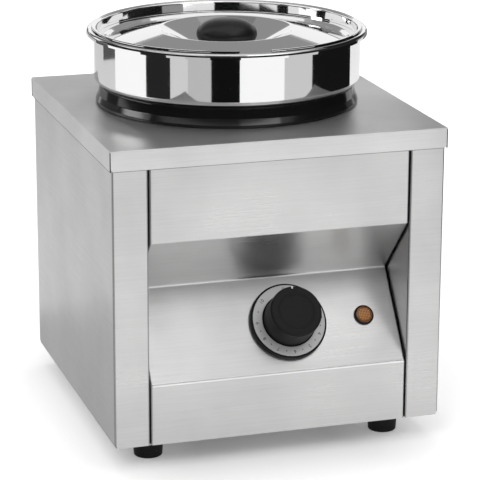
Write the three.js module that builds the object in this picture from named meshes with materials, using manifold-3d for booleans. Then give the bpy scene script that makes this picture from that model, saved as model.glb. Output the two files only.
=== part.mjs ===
// A counter-top bain marie for one round pot: a sheet-steel casing with a sloped control panel,
// a drawn water well with a ring round it, a heater under it, and a pot with a ladle-notched lid.
// Lengths are in millimetres. X runs to the right seen from the front, Y to the back and Z up.
// The origin is on the table, under the middle of the whole outline.

import * as THREE from 'three';
import { mergeVertices } from 'three/addons/utils/BufferGeometryUtils.js';
import Module from 'manifold-3d';

const wasm = await Module();
wasm.setup();

// Shared sizes
const seat = 0.3; // gap left between two pieces that touch
const overrun = 5; // how far a cutter passes the face that it cuts
const sheet = 1; // steel sheet of the casing, well, pot and lid
const bendFacet = 1.3; // bend radius for each facet of a bend
const bendSteps = 3; // most facets in a bend
const turnSides = 36; // facets round the well, pot and lid
const dialSides = 32;
const smallSides = 16;
const screwSides = 8;
const wireSides = 5;

// Casing
const coverWidth = 300;
const coverDepth = 300;
const coverSkirt = 18;
const coverClip = 2.5; // cut corner at the skirt's lower ends
const coverOverhang = 1.5; // how far the cover stands out over the casing
const casingHeight = 263.4; // from the casing's lower edge to the cover's top face
const footHeight = 22;
const panelBend = 1.5; // outer radius of the side panels' bends
const frontBend = 2; // outer radius of the front panel's bends
const pillarWidth = 31.3; // the side panels fold round the front this far
const panelGap = 2.2; // slot between pillar and front panel
const flange = 14; // width of the turned-in edges
const cheekMargin = 10; // the pillars' inner cheeks reach this far behind the recess
const panelReturn = 8; // depth of the front panel's turned-back sides

// Control recess in the front panel, heights from the casing's lower edge
const foldHeight = 54; // lower fold, where the control panel starts
const recessHeight = 126; // deepest line of the recess
const browHeight = 180.5; // lower edge of the upper front face
const recessDepth = 53;

// Feet and their fastenings
const footSideInset = 39; // from the casing's side to the foot's axis
const footEndInset = 36.5;
const footTopRadius = 14;
const footBottomRadius = 12.5;
const footRecessRadius = 6;
const footRecessDepth = 10;
const footScrewRadius = 2;
const footScrewHead = 4;
const footScrewHeadHeight = 2.6;
const footThreadEnd = 5; // thread that shows above the base plate

// Sheet-metal screws of the base plate and back panel
const screwRadius = 1.6;
const screwHead = 3.2;
const screwHeadHeight = 2.2;
const screwLength = 7;
const screwClearance = 0.3;
const screwSlotWidth = 0.9;
const screwSlotDepth = 1.1;
const screwEdge = 7; // from the flange's bend to the screw's axis
const baseScrewShares = [-0.15, 0.36]; // of the casing's depth
const frontScrewShares = [-0.25, 0.25]; // of the casing's width
const backScrewShares = [0.12, 0.88]; // of the casing's height

// Air slots
const baseSlotLength = 60;
const baseSlotWidth = 5;
const baseSlotPitch = 14;
const baseSlotCount = 5;
const backSlotLength = 52;
const backSlotWidth = 4;
const backSlotPitch = 11;
const backSlotCount = 6;
const backSlotHeight = 178; // lowest slot above the casing's lower edge
const slotEndSteps = 3;

// Water well, hung in the cover by its flange, and the moulded ring round it that carries the pot
const wellBack = 11.5; // the well's axis lies this far behind the casing's middle
const wellRadius = 109;
const waterSpace = 26; // between the pot's underside and the well's floor
const wellCorner = 14;
const wellFlange = 113.5; // radius of the flange that lies on the cover
const wellFlangeBend = 0.6;
const sealRise = 18.3; // the ring's height above the cover
const sealRadius = 117.4; // just above the ring's foot
const sealTopRadius = 116.2;
const sealWall = 2.4;
const sealFootBend = 1.2;
const sealTopBend = 3;
const sealInnerBend = 1;

// Pot
const potClearance = 4; // between the pot's body and the well's outer radius
const potBandRadius = 120;
const potHeight = 149.5;
const potShoulder = 48.2; // from the rim's crown down to the shoulder that rests on the ring
const potShoulderBend = 5.5;
const potNeckBend = 2.5;
const potCorner = 16;
const potRimRadius = 126;
const potLip = 5; // how far the rim's edge turns down
const potRimBend = 3.2;

// Lid
const lidGap = 0.9; // between the lid's wall and the pot's inside
const lidFlangeRadius = 121.2;
const lidHem = 1.5; // thickness of the folded flange
const lidWallDrop = 10.2; // from the flange down to the ledge
const lidLedge = 6.5;
const lidStep = 3; // from the ledge down to the cone's foot
const lidConeRise = 10.3;
const lidDishRadius = 61;
const lidDishDepth = 18.5;
const lidDishFloor = 25;
const lidBend = 1.3;
const lidCrestBend = 5;
const notchWidth = 28;
const notchAngle = 5; // degrees to the left of the front
const lidKnobRadius = 27.3;
const lidKnobHeight = 27;
const lidKnobNeck = 15;
const lidKnobMiddle = 12.8; // where the knob is widest, above its base
const lidScrewRadius = 2;
const lidScrewHead = 5;
const lidScrewHeadHeight = 2;
const lidScrewLength = 12;

// Control dial
const dialSide = 15.3; // to the right of the casing's middle
const dialShare = 0.507; // up the control panel's slope
const bezelRadius = 34.5;
const bezelHole = 19;
const bezelHeight = 4.6;
const bezelEdge = 0.8;
const ringRadius = 32.7;
const ringInner = 24.2;
const ringHeight = 0.6;
const knobBaseRadius = 23.1;
const knobFaceRadius = 23;
const knobFaceHeight = 31.3; // from the control panel to the knob's face
const knobEdge = 2;
const knobWall = 2.6;
const knobRoof = 5;
const knobBoss = 7;
const knobPin = 15; // how deep the shaft sits in the knob
const pointerWidth = 1.5;
const pointerDepth = 1.1;
const pointerLength = 3.2;
const shaftRadius = 3;
const shaftFlat = 1.6; // from the shaft's axis to its flat
const bushRadius = 5;
const bushStand = 4; // how far the thermostat's bush stands out of the panel

// Thermostat behind the dial
const thermostatWidth = 42;
const thermostatLength = 34;
const thermostatDepth = 27;
const thermostatScrewSpacing = 28;
const tabWidth = 6.3;
const tabThickness = 0.8;
const tabLength = 8;
const tabSide = 12; // from the body's axis to each terminal
const bulbRadius = 3;
const bulbLength = 62;
const bulbAngle = 125; // degrees round the well from the right
const bulbRise = 16; // lower end above the well's underside
const capillaryRadius = 0.8;
const clipSheet = 0.8;
const clipFoot = 6;
const clipHeight = 18;

// Indicator lamp
const lampInset = 62.1; // from the casing's right side to the lamp's axis
const lampBezelRadius = 8.95;
const lampBezelHeight = 2.2;
const lampBezelFlange = 1;
const lampHoleRadius = 6.4;
const lampLensRadius = 6.1;
const lampLensHeight = 1.8;
const lampBodyRadius = 5;
const lampBodyLength = 26;
const lampLugReach = 7.2; // snap lugs behind the panel
const lampLugWidth = 3;
const lampLugHeight = 2;
const lampTabSide = 2.4;
const lampTabWidth = 2.2;

// Heater stack under the well
const spreaderRadius = 83;
const spreaderSheet = 3;
const elementRadius = 3.2;
const elementRing = 64;
const elementGapAngle = 24; // degrees left open at the back
const elementLead = 21.5; // straight ends beyond the ring
const elementArcSteps = 18;
const insulatorRadius = 4.6;
const insulatorLength = 11;
const terminalRadius = 2;
const terminalLength = 10;
const clampRadius = 80;
const clampSheet = 1.5;
const studRadius = 3;
const studLength = 22;
const studNutRadius = 5.6;
const studNutHeight = 5;
const cutoutRadius = 8;
const cutoutHeight = 7;
const cutoutSide = 34;
const cutoutTabSide = 4;

// Mains side
const glandInset = 56.5; // from the casing's right side to the gland's axis
const glandHeight = 38; // above the casing's lower edge
const glandThread = 7.8;
const glandBore = 5;
const glandHex = 11;
const glandHexLength = 4;
const glandCapLength = 11;
const glandCapRadius = 9.6;
const glandCableBore = 3.9;
const glandNutLength = 4;
const glandInside = 9;
const blockWidth = 46;
const blockDepth = 20;
const blockHeight = 18;
const blockInset = 96.5; // from the casing's right side to the block's middle
const blockEnd = 70.5; // from the casing's back to the block's middle
const blockPoleCount = 3;
const blockPole = 12;
const blockLegSide = 20.5;
const blockLegHook = 0.8; // how far a leg's hook stands out under the base plate
const blockBore = 2.4;
const earthInset = 36.5; // from the casing's right side to the stud
const earthEnd = 86.5; // from the casing's back to the stud
const earthRadius = 2.5;
const earthLength = 14;
const earthCollar = 5;
const wireRadius = 1.2;
const wireTurn = 21.4; // how far the element's wires run behind its terminals before they turn down
const wireSteps = 15;

// Materials
const steel = new THREE.MeshStandardMaterial({ color: 0xc9cacb, roughness: 0.36, metalness: 1 });
const mirror = new THREE.MeshStandardMaterial({ color: 0xd6d7d8, roughness: 0.08, metalness: 1 });
const zinc = new THREE.MeshStandardMaterial({ color: 0xaeb1b3, roughness: 0.45, metalness: 1 });
const aluminium = new THREE.MeshStandardMaterial({ color: 0xbfc2c4, roughness: 0.5, metalness: 1 });
const copper = new THREE.MeshStandardMaterial({ color: 0xb87a4b, roughness: 0.4, metalness: 1 });
const ceramic = new THREE.MeshStandardMaterial({ color: 0xe6e0d2, roughness: 0.6, metalness: 0 });
const rubber = new THREE.MeshStandardMaterial({ color: 0x18181a, roughness: 0.85, metalness: 0 });
const black = new THREE.MeshStandardMaterial({ color: 0x1c1c1e, roughness: 0.5, metalness: 0 });
const phenolic = new THREE.MeshStandardMaterial({ color: 0x17161a, roughness: 0.35, metalness: 0 });
const silver = new THREE.MeshStandardMaterial({ color: 0xc4c6c8, roughness: 0.3, metalness: 1 });
const white = new THREE.MeshStandardMaterial({ color: 0xf0f0ee, roughness: 0.5, metalness: 0 });
const amber = new THREE.MeshStandardMaterial({ color: 0xd07818, roughness: 0.25, metalness: 0 });
const brownWire = new THREE.MeshStandardMaterial({ color: 0x6a4028, roughness: 0.7, metalness: 0 });
const blueWire = new THREE.MeshStandardMaterial({ color: 0x2c5aa0, roughness: 0.7, metalness: 0 });
const greenWire = new THREE.MeshStandardMaterial({ color: 0x5f9a36, roughness: 0.7, metalness: 0 });

// Levels and places that follow from the sizes above
const halfWidth = coverWidth / 2 - coverOverhang;
const halfDepth = coverDepth / 2 - coverOverhang;
const floorLevel = footHeight; // the casing's lower edge
const coverTop = floorLevel + casingHeight;
const coverUnder = coverTop - sheet;
const panelTop = coverUnder - seat;
const flangeLevel = floorLevel + sheet + seat; // upper face of the base plate, plus the seat
const pillarEdge = halfWidth - pillarWidth;
const panelHalf = pillarEdge - panelGap;
const innerHalfWidth = halfWidth - sheet - seat;
const innerHalfDepth = halfDepth - sheet - seat;
const sealTop = coverTop + sealRise;
const shoulderUnder = sealTop + seat;
const rimCrown = shoulderUnder + potShoulder;
const potBottom = rimCrown - potHeight;
const wellBottom = potBottom - waterSpace - sheet;
const potBodyRadius = wellRadius - potClearance;
const lampSide = halfWidth - lampInset;
const glandSide = halfWidth - glandInset;
const blockSide = halfWidth - blockInset;
const blockBack = halfDepth - blockEnd;
const earthSide = halfWidth - earthInset;
const earthBack = halfDepth - earthEnd;
const controlAngle = Math.atan2(recessHeight - foldHeight, recessDepth);
const controlLength = Math.hypot(recessHeight - foldHeight, recessDepth);
const dialRun = controlLength * dialShare;

// Geometry helpers

// A geometry as one closed surface: shared corners, no empty triangles, faces pointing out.
function closed(geometry) {
  const bare = geometry.clone();
  bare.deleteAttribute('normal');
  bare.deleteAttribute('uv');
  const welded = mergeVertices(bare);
  const place = welded.getAttribute('position');
  const index = welded.getIndex().array;
  const kept = [];
  const a = new THREE.Vector3();
  const b = new THREE.Vector3();
  const c = new THREE.Vector3();
  let volume = 0;
  for (let i = 0; i < index.length; i += 3) {
    const [p, q, r] = [index[i], index[i + 1], index[i + 2]];
    if (p !== q && q !== r && r !== p) {
      kept.push(p, q, r);
      a.fromBufferAttribute(place, p);
      b.fromBufferAttribute(place, q);
      c.fromBufferAttribute(place, r);
      volume += a.dot(b.cross(c));
    }
  }
  welded.setIndex(volume < 0 ? kept.reverse() : kept);
  return welded;
}

function solidOf(geometry) {
  const body = closed(geometry);
  return new wasm.Manifold(new wasm.Mesh({
    numProp: 3,
    vertProperties: new Float32Array(body.getAttribute('position').array),
    triVerts: new Uint32Array(body.getIndex().array),
  }));
}

function geometryOf(solid) {
  const mesh = solid.getMesh();
  const geometry = new THREE.BufferGeometry();
  geometry.setAttribute('position', new THREE.BufferAttribute(new Float32Array(mesh.vertProperties), 3));
  geometry.setIndex(Array.from(mesh.triVerts));
  return geometry;
}

const joined = (...parts) => geometryOf(parts.map(solidOf).reduce((all, next) => all.add(next)));

const cut = (base, ...tools) => geometryOf(
  tools.map(solidOf).reduce((left, tool) => left.subtract(tool), solidOf(base)),
);

function block([x0, x1], [y0, y1], [z0, z1]) {
  const box = new THREE.BoxGeometry(x1 - x0, y1 - y0, z1 - z0);
  return box.translate((x0 + x1) / 2, (y0 + y1) / 2, (z0 + z1) / 2);
}

// A round bar along Z between two heights.
function bar(radius, z0, z1, sides = smallSides) {
  const round = new THREE.CylinderGeometry(radius, radius, z1 - z0, sides);
  return round.rotateX(Math.PI / 2).translate(0, 0, (z0 + z1) / 2);
}

const hexBar = (radius, z0, z1) => bar(radius, z0, z1, 6);

// A nut or washer along Z.
const collar = (radius, bore, z0, z1, sides) => cut(
  bar(radius, z0, z1, sides),
  bar(bore, z0 - overrun, z1 + overrun, smallSides),
);

// The points of an open line of corners [u, v, bend radius], with each bend as an arc.
function rounded(corners) {
  const line = [];
  corners.forEach(([u, v, radius = 0], i) => {
    const here = new THREE.Vector2(u, v);
    if (radius === 0 || i === 0 || i === corners.length - 1) {
      line.push(here);
      return;
    }
    const back = new THREE.Vector2(...corners[i - 1].slice(0, 2)).sub(here).normalize();
    const on = new THREE.Vector2(...corners[i + 1].slice(0, 2)).sub(here).normalize();
    const half = Math.acos(back.dot(on)) / 2;
    const reach = radius / Math.tan(half);
    const hub = back.clone().add(on).normalize().multiplyScalar(radius / Math.sin(half)).add(here);
    const first = here.clone().addScaledVector(back, reach).sub(hub);
    const sweep = (Math.PI - 2 * half) * Math.sign(on.cross(back));
    const steps = Math.min(Math.ceil(radius / bendFacet), bendSteps);
    for (let step = 0; step <= steps; step += 1) {
      const turn = (sweep * step) / steps;
      line.push(first.clone().rotateAround(new THREE.Vector2(), turn).add(hub));
    }
  });
  return line;
}

// The line that runs beside a line of corners, to its left, with bends round the same centres.
function beside(corners, distance) {
  const points = corners.map(([u, v]) => new THREE.Vector2(u, v));
  return corners.map(([, , radius = 0], i) => {
    const into = points[Math.max(i, 1)].clone().sub(points[Math.max(i, 1) - 1]).normalize();
    const last = Math.min(i, points.length - 2);
    const out = points[last + 1].clone().sub(points[last]).normalize();
    const left = new THREE.Vector2(-into.y - out.y, into.x + out.x).normalize();
    const reach = distance / left.dot(new THREE.Vector2(-into.y, into.x));
    const spot = points[i].clone().addScaledVector(left, reach);
    const turn = Math.sign(into.cross(out));
    return [spot.x, spot.y, radius === 0 ? 0 : Math.max(radius - distance * turn, 0)];
  });
}

// The closed outline of a bent sheet: the line of corners and the line beside it.
const sheetOutline = (corners, thickness) => [
  ...rounded(corners),
  ...rounded(beside(corners, thickness)).reverse(),
];

// An outline turned round the Z axis: each point is [radius, height].
function turned(outline, sides = turnSides) {
  return closed(new THREE.LatheGeometry(outline, sides).rotateX(Math.PI / 2));
}

const ringOutline = (outline) => [...outline, outline[0]];

const vectors = (points) => points.map(([u, v]) => new THREE.Vector2(u, v));

function extruded(outline, depth, holes = []) {
  const shape = new THREE.Shape(outline);
  holes.forEach((hole) => shape.holes.push(new THREE.Path(hole)));
  return new THREE.ExtrudeGeometry(shape, { depth, bevelEnabled: false });
}

// An outline in Y and Z, extruded along X between two places.
function alongX(outline, [x0, x1]) {
  const turn = new THREE.Matrix4().makeBasis(
    new THREE.Vector3(0, 1, 0),
    new THREE.Vector3(0, 0, 1),
    new THREE.Vector3(1, 0, 0),
  );
  return extruded(outline, x1 - x0).applyMatrix4(turn).translate(x0, 0, 0);
}

// A tube or wire with a polygon section along a smooth line through the points.
function tubeAlong(points, radius, steps, sides) {
  const section = [];
  for (let side = 0; side < sides; side += 1) {
    const turn = (2 * Math.PI * side) / sides;
    section.push(new THREE.Vector2(radius * Math.cos(turn), radius * Math.sin(turn)));
  }
  const path = new THREE.CatmullRomCurve3(points, false, 'centripetal');
  return new THREE.ExtrudeGeometry(new THREE.Shape(section), { steps, extrudePath: path });
}

// A round-ended slot along X as a list of points.
function slotPath(x, y, length, width) {
  const radius = width / 2;
  const reach = length / 2 - radius;
  const path = [];
  for (const side of [1, -1]) {
    for (let step = 0; step <= slotEndSteps; step += 1) {
      const turn = Math.PI * (step / slotEndSteps - 1 / 2);
      path.push(new THREE.Vector2(
        x + side * (reach + radius * Math.cos(turn)),
        y + side * radius * Math.sin(turn),
      ));
    }
  }
  return path;
}

function circlePath(x, y, radius, sides = screwSides) {
  const path = [];
  for (let side = 0; side < sides; side += 1) {
    const turn = (2 * Math.PI * side) / sides;
    path.push(new THREE.Vector2(x + radius * Math.cos(turn), y + radius * Math.sin(turn)));
  }
  return path;
}

const group = new THREE.Group();
const body = new THREE.Group(); // everything, measured from the casing's middle
group.add(body);

function add(name, geometry, material, parent = body) {
  const mesh = new THREE.Mesh(closed(geometry), material);
  mesh.name = name;
  parent.add(mesh);
  return mesh;
}

// One copy of a piece at each place, with its number in its name.
function addEach(name, geometry, material, places, parent = body) {
  places.forEach(([x, y, z], i) => {
    add(`${name}_${i + 1}`, geometry, material, parent).position.set(x, y, z);
  });
}

// The control panel's own frame: its origin is where the dial's axis meets the panel,
// its Y runs up the slope and its Z stands out of the panel.
const controlFrame = new THREE.Group();
controlFrame.rotation.x = controlAngle;
controlFrame.position.set(
  dialSide,
  -halfDepth + dialRun * Math.cos(controlAngle),
  floorLevel + foldHeight + dialRun * Math.sin(controlAngle),
);
controlFrame.updateMatrix();
body.add(controlFrame);

const onControl = (geometry) => geometry.clone().applyMatrix4(controlFrame.matrix);
const controlPoint = (x, y, z) => new THREE.Vector3(x, y, z).applyMatrix4(controlFrame.matrix);
const lampAcross = lampSide - dialSide;

// Fasteners

// A pan-head screw along Z: its head sits on z = 0 and its shank runs down.
function panScrew(radius, head, headHeight, length, slots = true) {
  const outline = vectors([
    [0, -length], [radius, -length], [radius, 0], [head, 0],
    [head, headHeight / 2], [head * Math.SQRT1_2, headHeight], [0, headHeight],
  ]);
  const screw = turned(outline, screwSides);
  if (!slots) return screw;
  const reach = head / 2;
  const tall = [headHeight - screwSlotDepth, headHeight + overrun];
  const wide = [-screwSlotWidth / 2, screwSlotWidth / 2];
  return cut(screw, joined(block([-reach, reach], wide, tall), block(wide, [-reach, reach], tall)));
}

const sheetScrew = panScrew(screwRadius, screwHead, screwHeadHeight, screwLength);
const plainScrew = panScrew(screwRadius, screwHead, screwHeadHeight, screwLength, false);

// Cover and casing

function makeCover() {
  const clipped = (half) => vectors([
    [-half, sheet], [-half, coverSkirt - coverClip], [coverClip - half, coverSkirt],
    [half - coverClip, coverSkirt], [half, coverSkirt - coverClip], [half, sheet],
  ]).reverse();
  const skirt = (half, place) => {
    const plate = extruded(clipped(half), sheet).rotateX(-Math.PI / 2);
    return plate.translate(0, place, coverTop);
  };
  const sides = [
    skirt(coverWidth / 2, coverDepth / 2 - sheet),
    skirt(coverWidth / 2, -coverDepth / 2),
  ];
  const ends = [
    skirt(coverDepth / 2, coverWidth / 2 - sheet),
    skirt(coverDepth / 2, -coverWidth / 2),
  ].map((plate) => plate.rotateZ(Math.PI / 2));
  const top = block(
    [-coverWidth / 2, coverWidth / 2],
    [-coverDepth / 2, coverDepth / 2],
    [coverUnder, coverTop],
  );
  const hole = bar(wellRadius + seat, coverUnder - overrun, coverTop + overrun, turnSides);
  return cut(joined(top, ...sides, ...ends), hole.translate(0, wellBack, 0));
}

const mirrorX = (geometry) => closed(geometry.clone().scale(-1, 1, 1));

const screwHole = (x, y, z) => bar(screwRadius + screwClearance, z - overrun, z + overrun, screwSides)
  .translate(x, y, 0);

const baseScrewPlaces = [];
for (const share of baseScrewShares) {
  for (const side of [1, -1]) {
    baseScrewPlaces.push([side * (halfWidth - screwEdge), share * coverDepth]);
  }
}
for (const share of frontScrewShares) {
  baseScrewPlaces.push([share * coverWidth, screwEdge - halfDepth]);
}

const backScrewPlaces = [];
for (const share of backScrewShares) {
  for (const side of [1, -1]) {
    backScrewPlaces.push([side * (halfWidth - screwEdge), floorLevel + share * casingHeight]);
  }
}

function makeSidePanel() {
  const backFace = halfDepth - sheet - seat;
  const plan = sheetOutline([
    [pillarEdge, recessDepth + cheekMargin - halfDepth],
    [pillarEdge, -halfDepth, panelBend],
    [halfWidth, -halfDepth, panelBend],
    [halfWidth, backFace, panelBend],
    [halfWidth - flange, backFace],
  ], sheet);
  const wall = extruded(plan, panelTop - floorLevel).translate(0, 0, floorLevel);
  const across = [halfWidth - flange, halfWidth - sheet / 2];
  const along = [sheet / 2 - halfDepth, backFace - sheet / 2];
  const lower = block(across, along, [flangeLevel, flangeLevel + sheet]);
  const upper = block(across, along, [panelTop - sheet, panelTop]);
  const baseRoom = block(
    [pillarEdge - overrun, halfWidth - sheet],
    [sheet - halfDepth, halfDepth],
    [floorLevel - overrun, flangeLevel],
  );
  const clip = block([-coverClip, coverClip], [-halfDepth * 2, halfDepth * 2], [-coverClip, coverClip])
    .rotateY(Math.PI / 4).translate(halfWidth, 0, floorLevel);
  const baseHoles = baseScrewPlaces.filter(([x]) => x > pillarEdge)
    .map(([x, y]) => screwHole(x, y, flangeLevel));
  const backHoles = backScrewPlaces.filter(([x]) => x > 0)
    .map(([x, z]) => screwHole(x, -z, backFace).rotateX(-Math.PI / 2));
  return cut(cut(joined(wall, lower, upper), baseRoom), clip, ...baseHoles, ...backHoles);
}

function makeFrontPanel() {
  const path = [
    [-halfDepth, floorLevel],
    [-halfDepth, floorLevel + foldHeight, frontBend],
    [recessDepth - halfDepth, floorLevel + recessHeight, frontBend],
    [-halfDepth, floorLevel + browHeight, frontBend],
    [-halfDepth, panelTop],
  ];
  const face = alongX(sheetOutline(path, -sheet), [-panelHalf, panelHalf]);
  const edge = sheetOutline(path, -panelReturn);
  const left = alongX(edge, [-panelHalf, sheet - panelHalf]);
  const right = alongX(edge, [panelHalf - sheet, panelHalf]);
  const along = [sheet / 2 - halfDepth, flange - halfDepth];
  const upper = block([-panelHalf, panelHalf], along, [panelTop - sheet, panelTop]);
  const lower = block([-panelHalf, panelHalf], along, [flangeLevel, flangeLevel + sheet]);
  const baseRoom = block(
    [-panelHalf - overrun, panelHalf + overrun],
    [sheet - halfDepth, flange],
    [floorLevel - overrun, flangeLevel],
  );
  const through = [-sheet - overrun, overrun];
  const holes = [
    onControl(bar(bushRadius + seat, ...through)),
    onControl(bar(lampBodyRadius + seat, ...through).translate(lampAcross, 0, 0)),
    ...[1, -1].map((side) => onControl(
      screwHole((side * thermostatScrewSpacing) / 2, 0, 0),
    )),
    ...baseScrewPlaces.filter(([x]) => Math.abs(x) < pillarEdge)
      .map(([x, y]) => screwHole(x, y, flangeLevel)),
  ];
  return cut(cut(joined(face, left, right, upper, lower), baseRoom), ...holes);
}

function makeBackPanel() {
  const outline = vectors([
    [-innerHalfWidth, floorLevel], [innerHalfWidth, floorLevel],
    [innerHalfWidth, panelTop], [-innerHalfWidth, panelTop],
  ]);
  const slots = [];
  for (let row = 0; row < backSlotCount; row += 1) {
    const height = floorLevel + backSlotHeight + row * backSlotPitch;
    for (const side of [1, -1]) {
      slots.push(slotPath((side * coverWidth) / 5, height, backSlotLength, backSlotWidth));
    }
  }
  const holes = [
    circlePath(glandSide, floorLevel + glandHeight, glandThread + seat, smallSides),
    ...backScrewPlaces.map(([x, z]) => circlePath(x, z, screwRadius + screwClearance)),
  ];
  return extruded(outline, sheet, [...slots, ...holes]).rotateX(Math.PI / 2)
    .translate(0, halfDepth, 0);
}

const footPlaces = [];
for (const end of [-1, 1]) {
  for (const side of [-1, 1]) {
    footPlaces.push([side * (halfWidth - footSideInset), end * (halfDepth - footEndInset)]);
  }
}

function makeBasePlate() {
  const outline = vectors([
    [-innerHalfWidth, -innerHalfDepth], [innerHalfWidth, -innerHalfDepth],
    [innerHalfWidth, innerHalfDepth], [-innerHalfWidth, innerHalfDepth],
  ]);
  const slots = [];
  for (let row = 0; row < baseSlotCount; row += 1) {
    const place = (row - (baseSlotCount - 1) / 2) * baseSlotPitch;
    slots.push(slotPath(-coverWidth / 6, place, baseSlotLength, baseSlotWidth));
    slots.push(slotPath(coverWidth / 6, place, baseSlotLength, baseSlotWidth));
  }
  const holes = [
    ...footPlaces.map(([x, y]) => circlePath(x, y, footScrewRadius + screwClearance)),
    ...baseScrewPlaces.map(([x, y]) => circlePath(x, y, screwRadius + screwClearance)),
    ...[1, -1].map((side) => circlePath(
      blockSide + side * blockLegSide,
      blockBack,
      screwRadius + screwClearance,
    )),
  ];
  return extruded(outline, sheet, [...slots, ...holes]).translate(0, 0, floorLevel);
}

add('top_cover', makeCover(), steel);
const sidePanel = makeSidePanel();
add('right_side_panel', sidePanel, steel);
add('left_side_panel', mirrorX(sidePanel), steel);
add('front_panel', makeFrontPanel(), steel);
add('back_panel', makeBackPanel(), steel);
add('base_plate', makeBasePlate(), zinc);

addEach(
  'base_screw',
  sheetScrew.clone().rotateX(Math.PI),
  zinc,
  baseScrewPlaces.map(([x, y]) => [x, y, floorLevel - seat]),
);
addEach(
  'back_screw',
  sheetScrew.clone().rotateX(-Math.PI / 2),
  zinc,
  backScrewPlaces.map(([x, z]) => [x, halfDepth + seat, z]),
);

// Feet

const footTop = floorLevel - seat;
const footSeatLevel = footRecessDepth; // where the screw's head bears inside the foot

function makeFoot() {
  const bore = footScrewRadius + screwClearance;
  return turned(ringOutline(vectors([
    [footRecessRadius, 0], [footBottomRadius, 0], [footTopRadius, footTop],
    [bore, footTop], [bore, footSeatLevel], [footRecessRadius, footSeatLevel],
  ])), smallSides);
}

const foot = makeFoot();
const footNames = ['foot_front_left', 'foot_front_right', 'foot_back_left', 'foot_back_right'];
footPlaces.forEach(([x, y], i) => {
  add(footNames[i], foot, rubber).position.set(x, y, 0);
});

const footScrewSeat = footSeatLevel - seat; // the head's bearing face, below the foot's shoulder
const footScrewLength = floorLevel + sheet + footThreadEnd - footScrewSeat;
addEach(
  'foot_screw',
  panScrew(footScrewRadius, footScrewHead, footScrewHeadHeight, footScrewLength, false)
    .rotateX(Math.PI),
  zinc,
  footPlaces.map(([x, y]) => [x, y, footScrewSeat]),
);

// Well, pot and lid stand on one axis, behind the casing's middle
const pan = new THREE.Group();
pan.position.y = wellBack;
body.add(pan);

const wellHang = coverTop + seat; // underside of the well's flange

function makeWell() {
  const shell = turned(sheetOutline([
    [0, wellBottom],
    [wellRadius, wellBottom, wellCorner],
    [wellRadius, wellHang, wellFlangeBend],
    [wellFlange, wellHang],
  ], sheet));
  const stud = bar(studRadius, wellBottom - studLength, wellBottom + sheet / 2, screwSides);
  return joined(shell, stud);
}
add('water_well', makeWell(), mirror, pan);

// Its inner leg stands on the well's flange and its outer leg on the cover.
function makeSealRing() {
  const roof = sealTop - sealWall;
  const innerFoot = wellHang + sheet + seat;
  return turned(ringOutline(rounded([
    [wellRadius, innerFoot],
    [wellRadius + sealWall, innerFoot],
    [wellRadius + sealWall, roof],
    [sealTopRadius - sealWall, roof],
    [sealRadius - sealWall, wellHang],
    [sealRadius, wellHang, sealFootBend],
    [sealTopRadius, sealTop, sealTopBend],
    [wellRadius, sealTop, sealInnerBend],
    [wellRadius, roof],
  ])));
}
add('seal_ring', makeSealRing(), black, pan);

function makePot() {
  const mouth = rimCrown - potLip;
  return turned(sheetOutline([
    [0, potBottom],
    [potBodyRadius, potBottom, potCorner],
    [potBodyRadius, shoulderUnder, potNeckBend],
    [potBandRadius, shoulderUnder, potShoulderBend],
    [potBandRadius, rimCrown - sheet, potRimBend],
    [potRimRadius - sheet, rimCrown - sheet, potRimBend - sheet],
    [potRimRadius - sheet, mouth],
  ], sheet));
}
add('pot', makePot(), mirror, pan);

const lidWall = potBandRadius - sheet - lidGap;
const flangeUnder = rimCrown + seat;
const ledgeLevel = flangeUnder - lidWallDrop;
const ledgeInner = lidWall - lidLedge;
const coneFoot = ledgeLevel - lidStep;
const dishRim = coneFoot + lidConeRise;
const dishFloor = dishRim - lidDishDepth;

function makeLid() {
  const pressed = sheetOutline([
    [0, dishFloor],
    [lidDishFloor, dishFloor, lidCrestBend],
    [lidDishRadius, dishRim, lidCrestBend],
    [ledgeInner - lidStep, coneFoot, lidBend],
    [ledgeInner, ledgeLevel, lidBend],
    [lidWall, ledgeLevel, lidBend],
    [lidWall, flangeUnder, lidBend],
    [lidFlangeRadius, flangeUnder],
  ], sheet);
  const hem = turned(ringOutline(vectors([
    [lidFlangeRadius - lidHem, flangeUnder], [lidFlangeRadius, flangeUnder],
    [lidFlangeRadius, flangeUnder + lidHem], [lidFlangeRadius - lidHem, flangeUnder + lidHem],
  ])));
  const notchEnd = ledgeInner - lidStep + lidBend;
  const notch = block(
    [notchEnd, lidFlangeRadius + overrun],
    [-notchWidth / 2, notchWidth / 2],
    [coneFoot - overrun, flangeUnder + overrun],
  ).rotateZ(THREE.MathUtils.degToRad(-90 - notchAngle));
  const hole = bar(lidScrewRadius + seat, dishFloor - overrun, dishFloor + overrun, screwSides);
  return cut(joined(turned(pressed), hem), notch, hole);
}
add('lid_shell', makeLid(), mirror, pan);

const lidKnobBase = dishFloor + sheet + seat;
const lidThreadTop = lidKnobBase + lidScrewLength;

function makeLidKnob() {
  const middle = lidKnobBase + lidKnobMiddle;
  const top = lidKnobBase + lidKnobHeight;
  const bore = lidScrewRadius + seat;
  const dome = [];
  const domeSteps = 5;
  for (let step = 0; step < domeSteps; step += 1) {
    const turn = (Math.PI / 2) * (step / domeSteps);
    dome.push([lidKnobRadius * Math.cos(turn), middle + (top - middle) * Math.sin(turn)]);
  }
  return turned(vectors([
    [0, lidThreadTop + seat], [bore, lidThreadTop + seat], [bore, lidKnobBase],
    [lidKnobNeck, lidKnobBase], [lidKnobNeck, lidKnobBase + lidKnobMiddle / 6],
    [lidKnobRadius * 0.8, lidKnobBase + lidKnobMiddle / 4],
    [lidKnobRadius * 0.93, lidKnobBase + lidKnobMiddle * 0.45],
    ...dome, [0, top],
  ]), dialSides);
}
add('lid_knob', makeLidKnob(), phenolic, pan);

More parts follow.
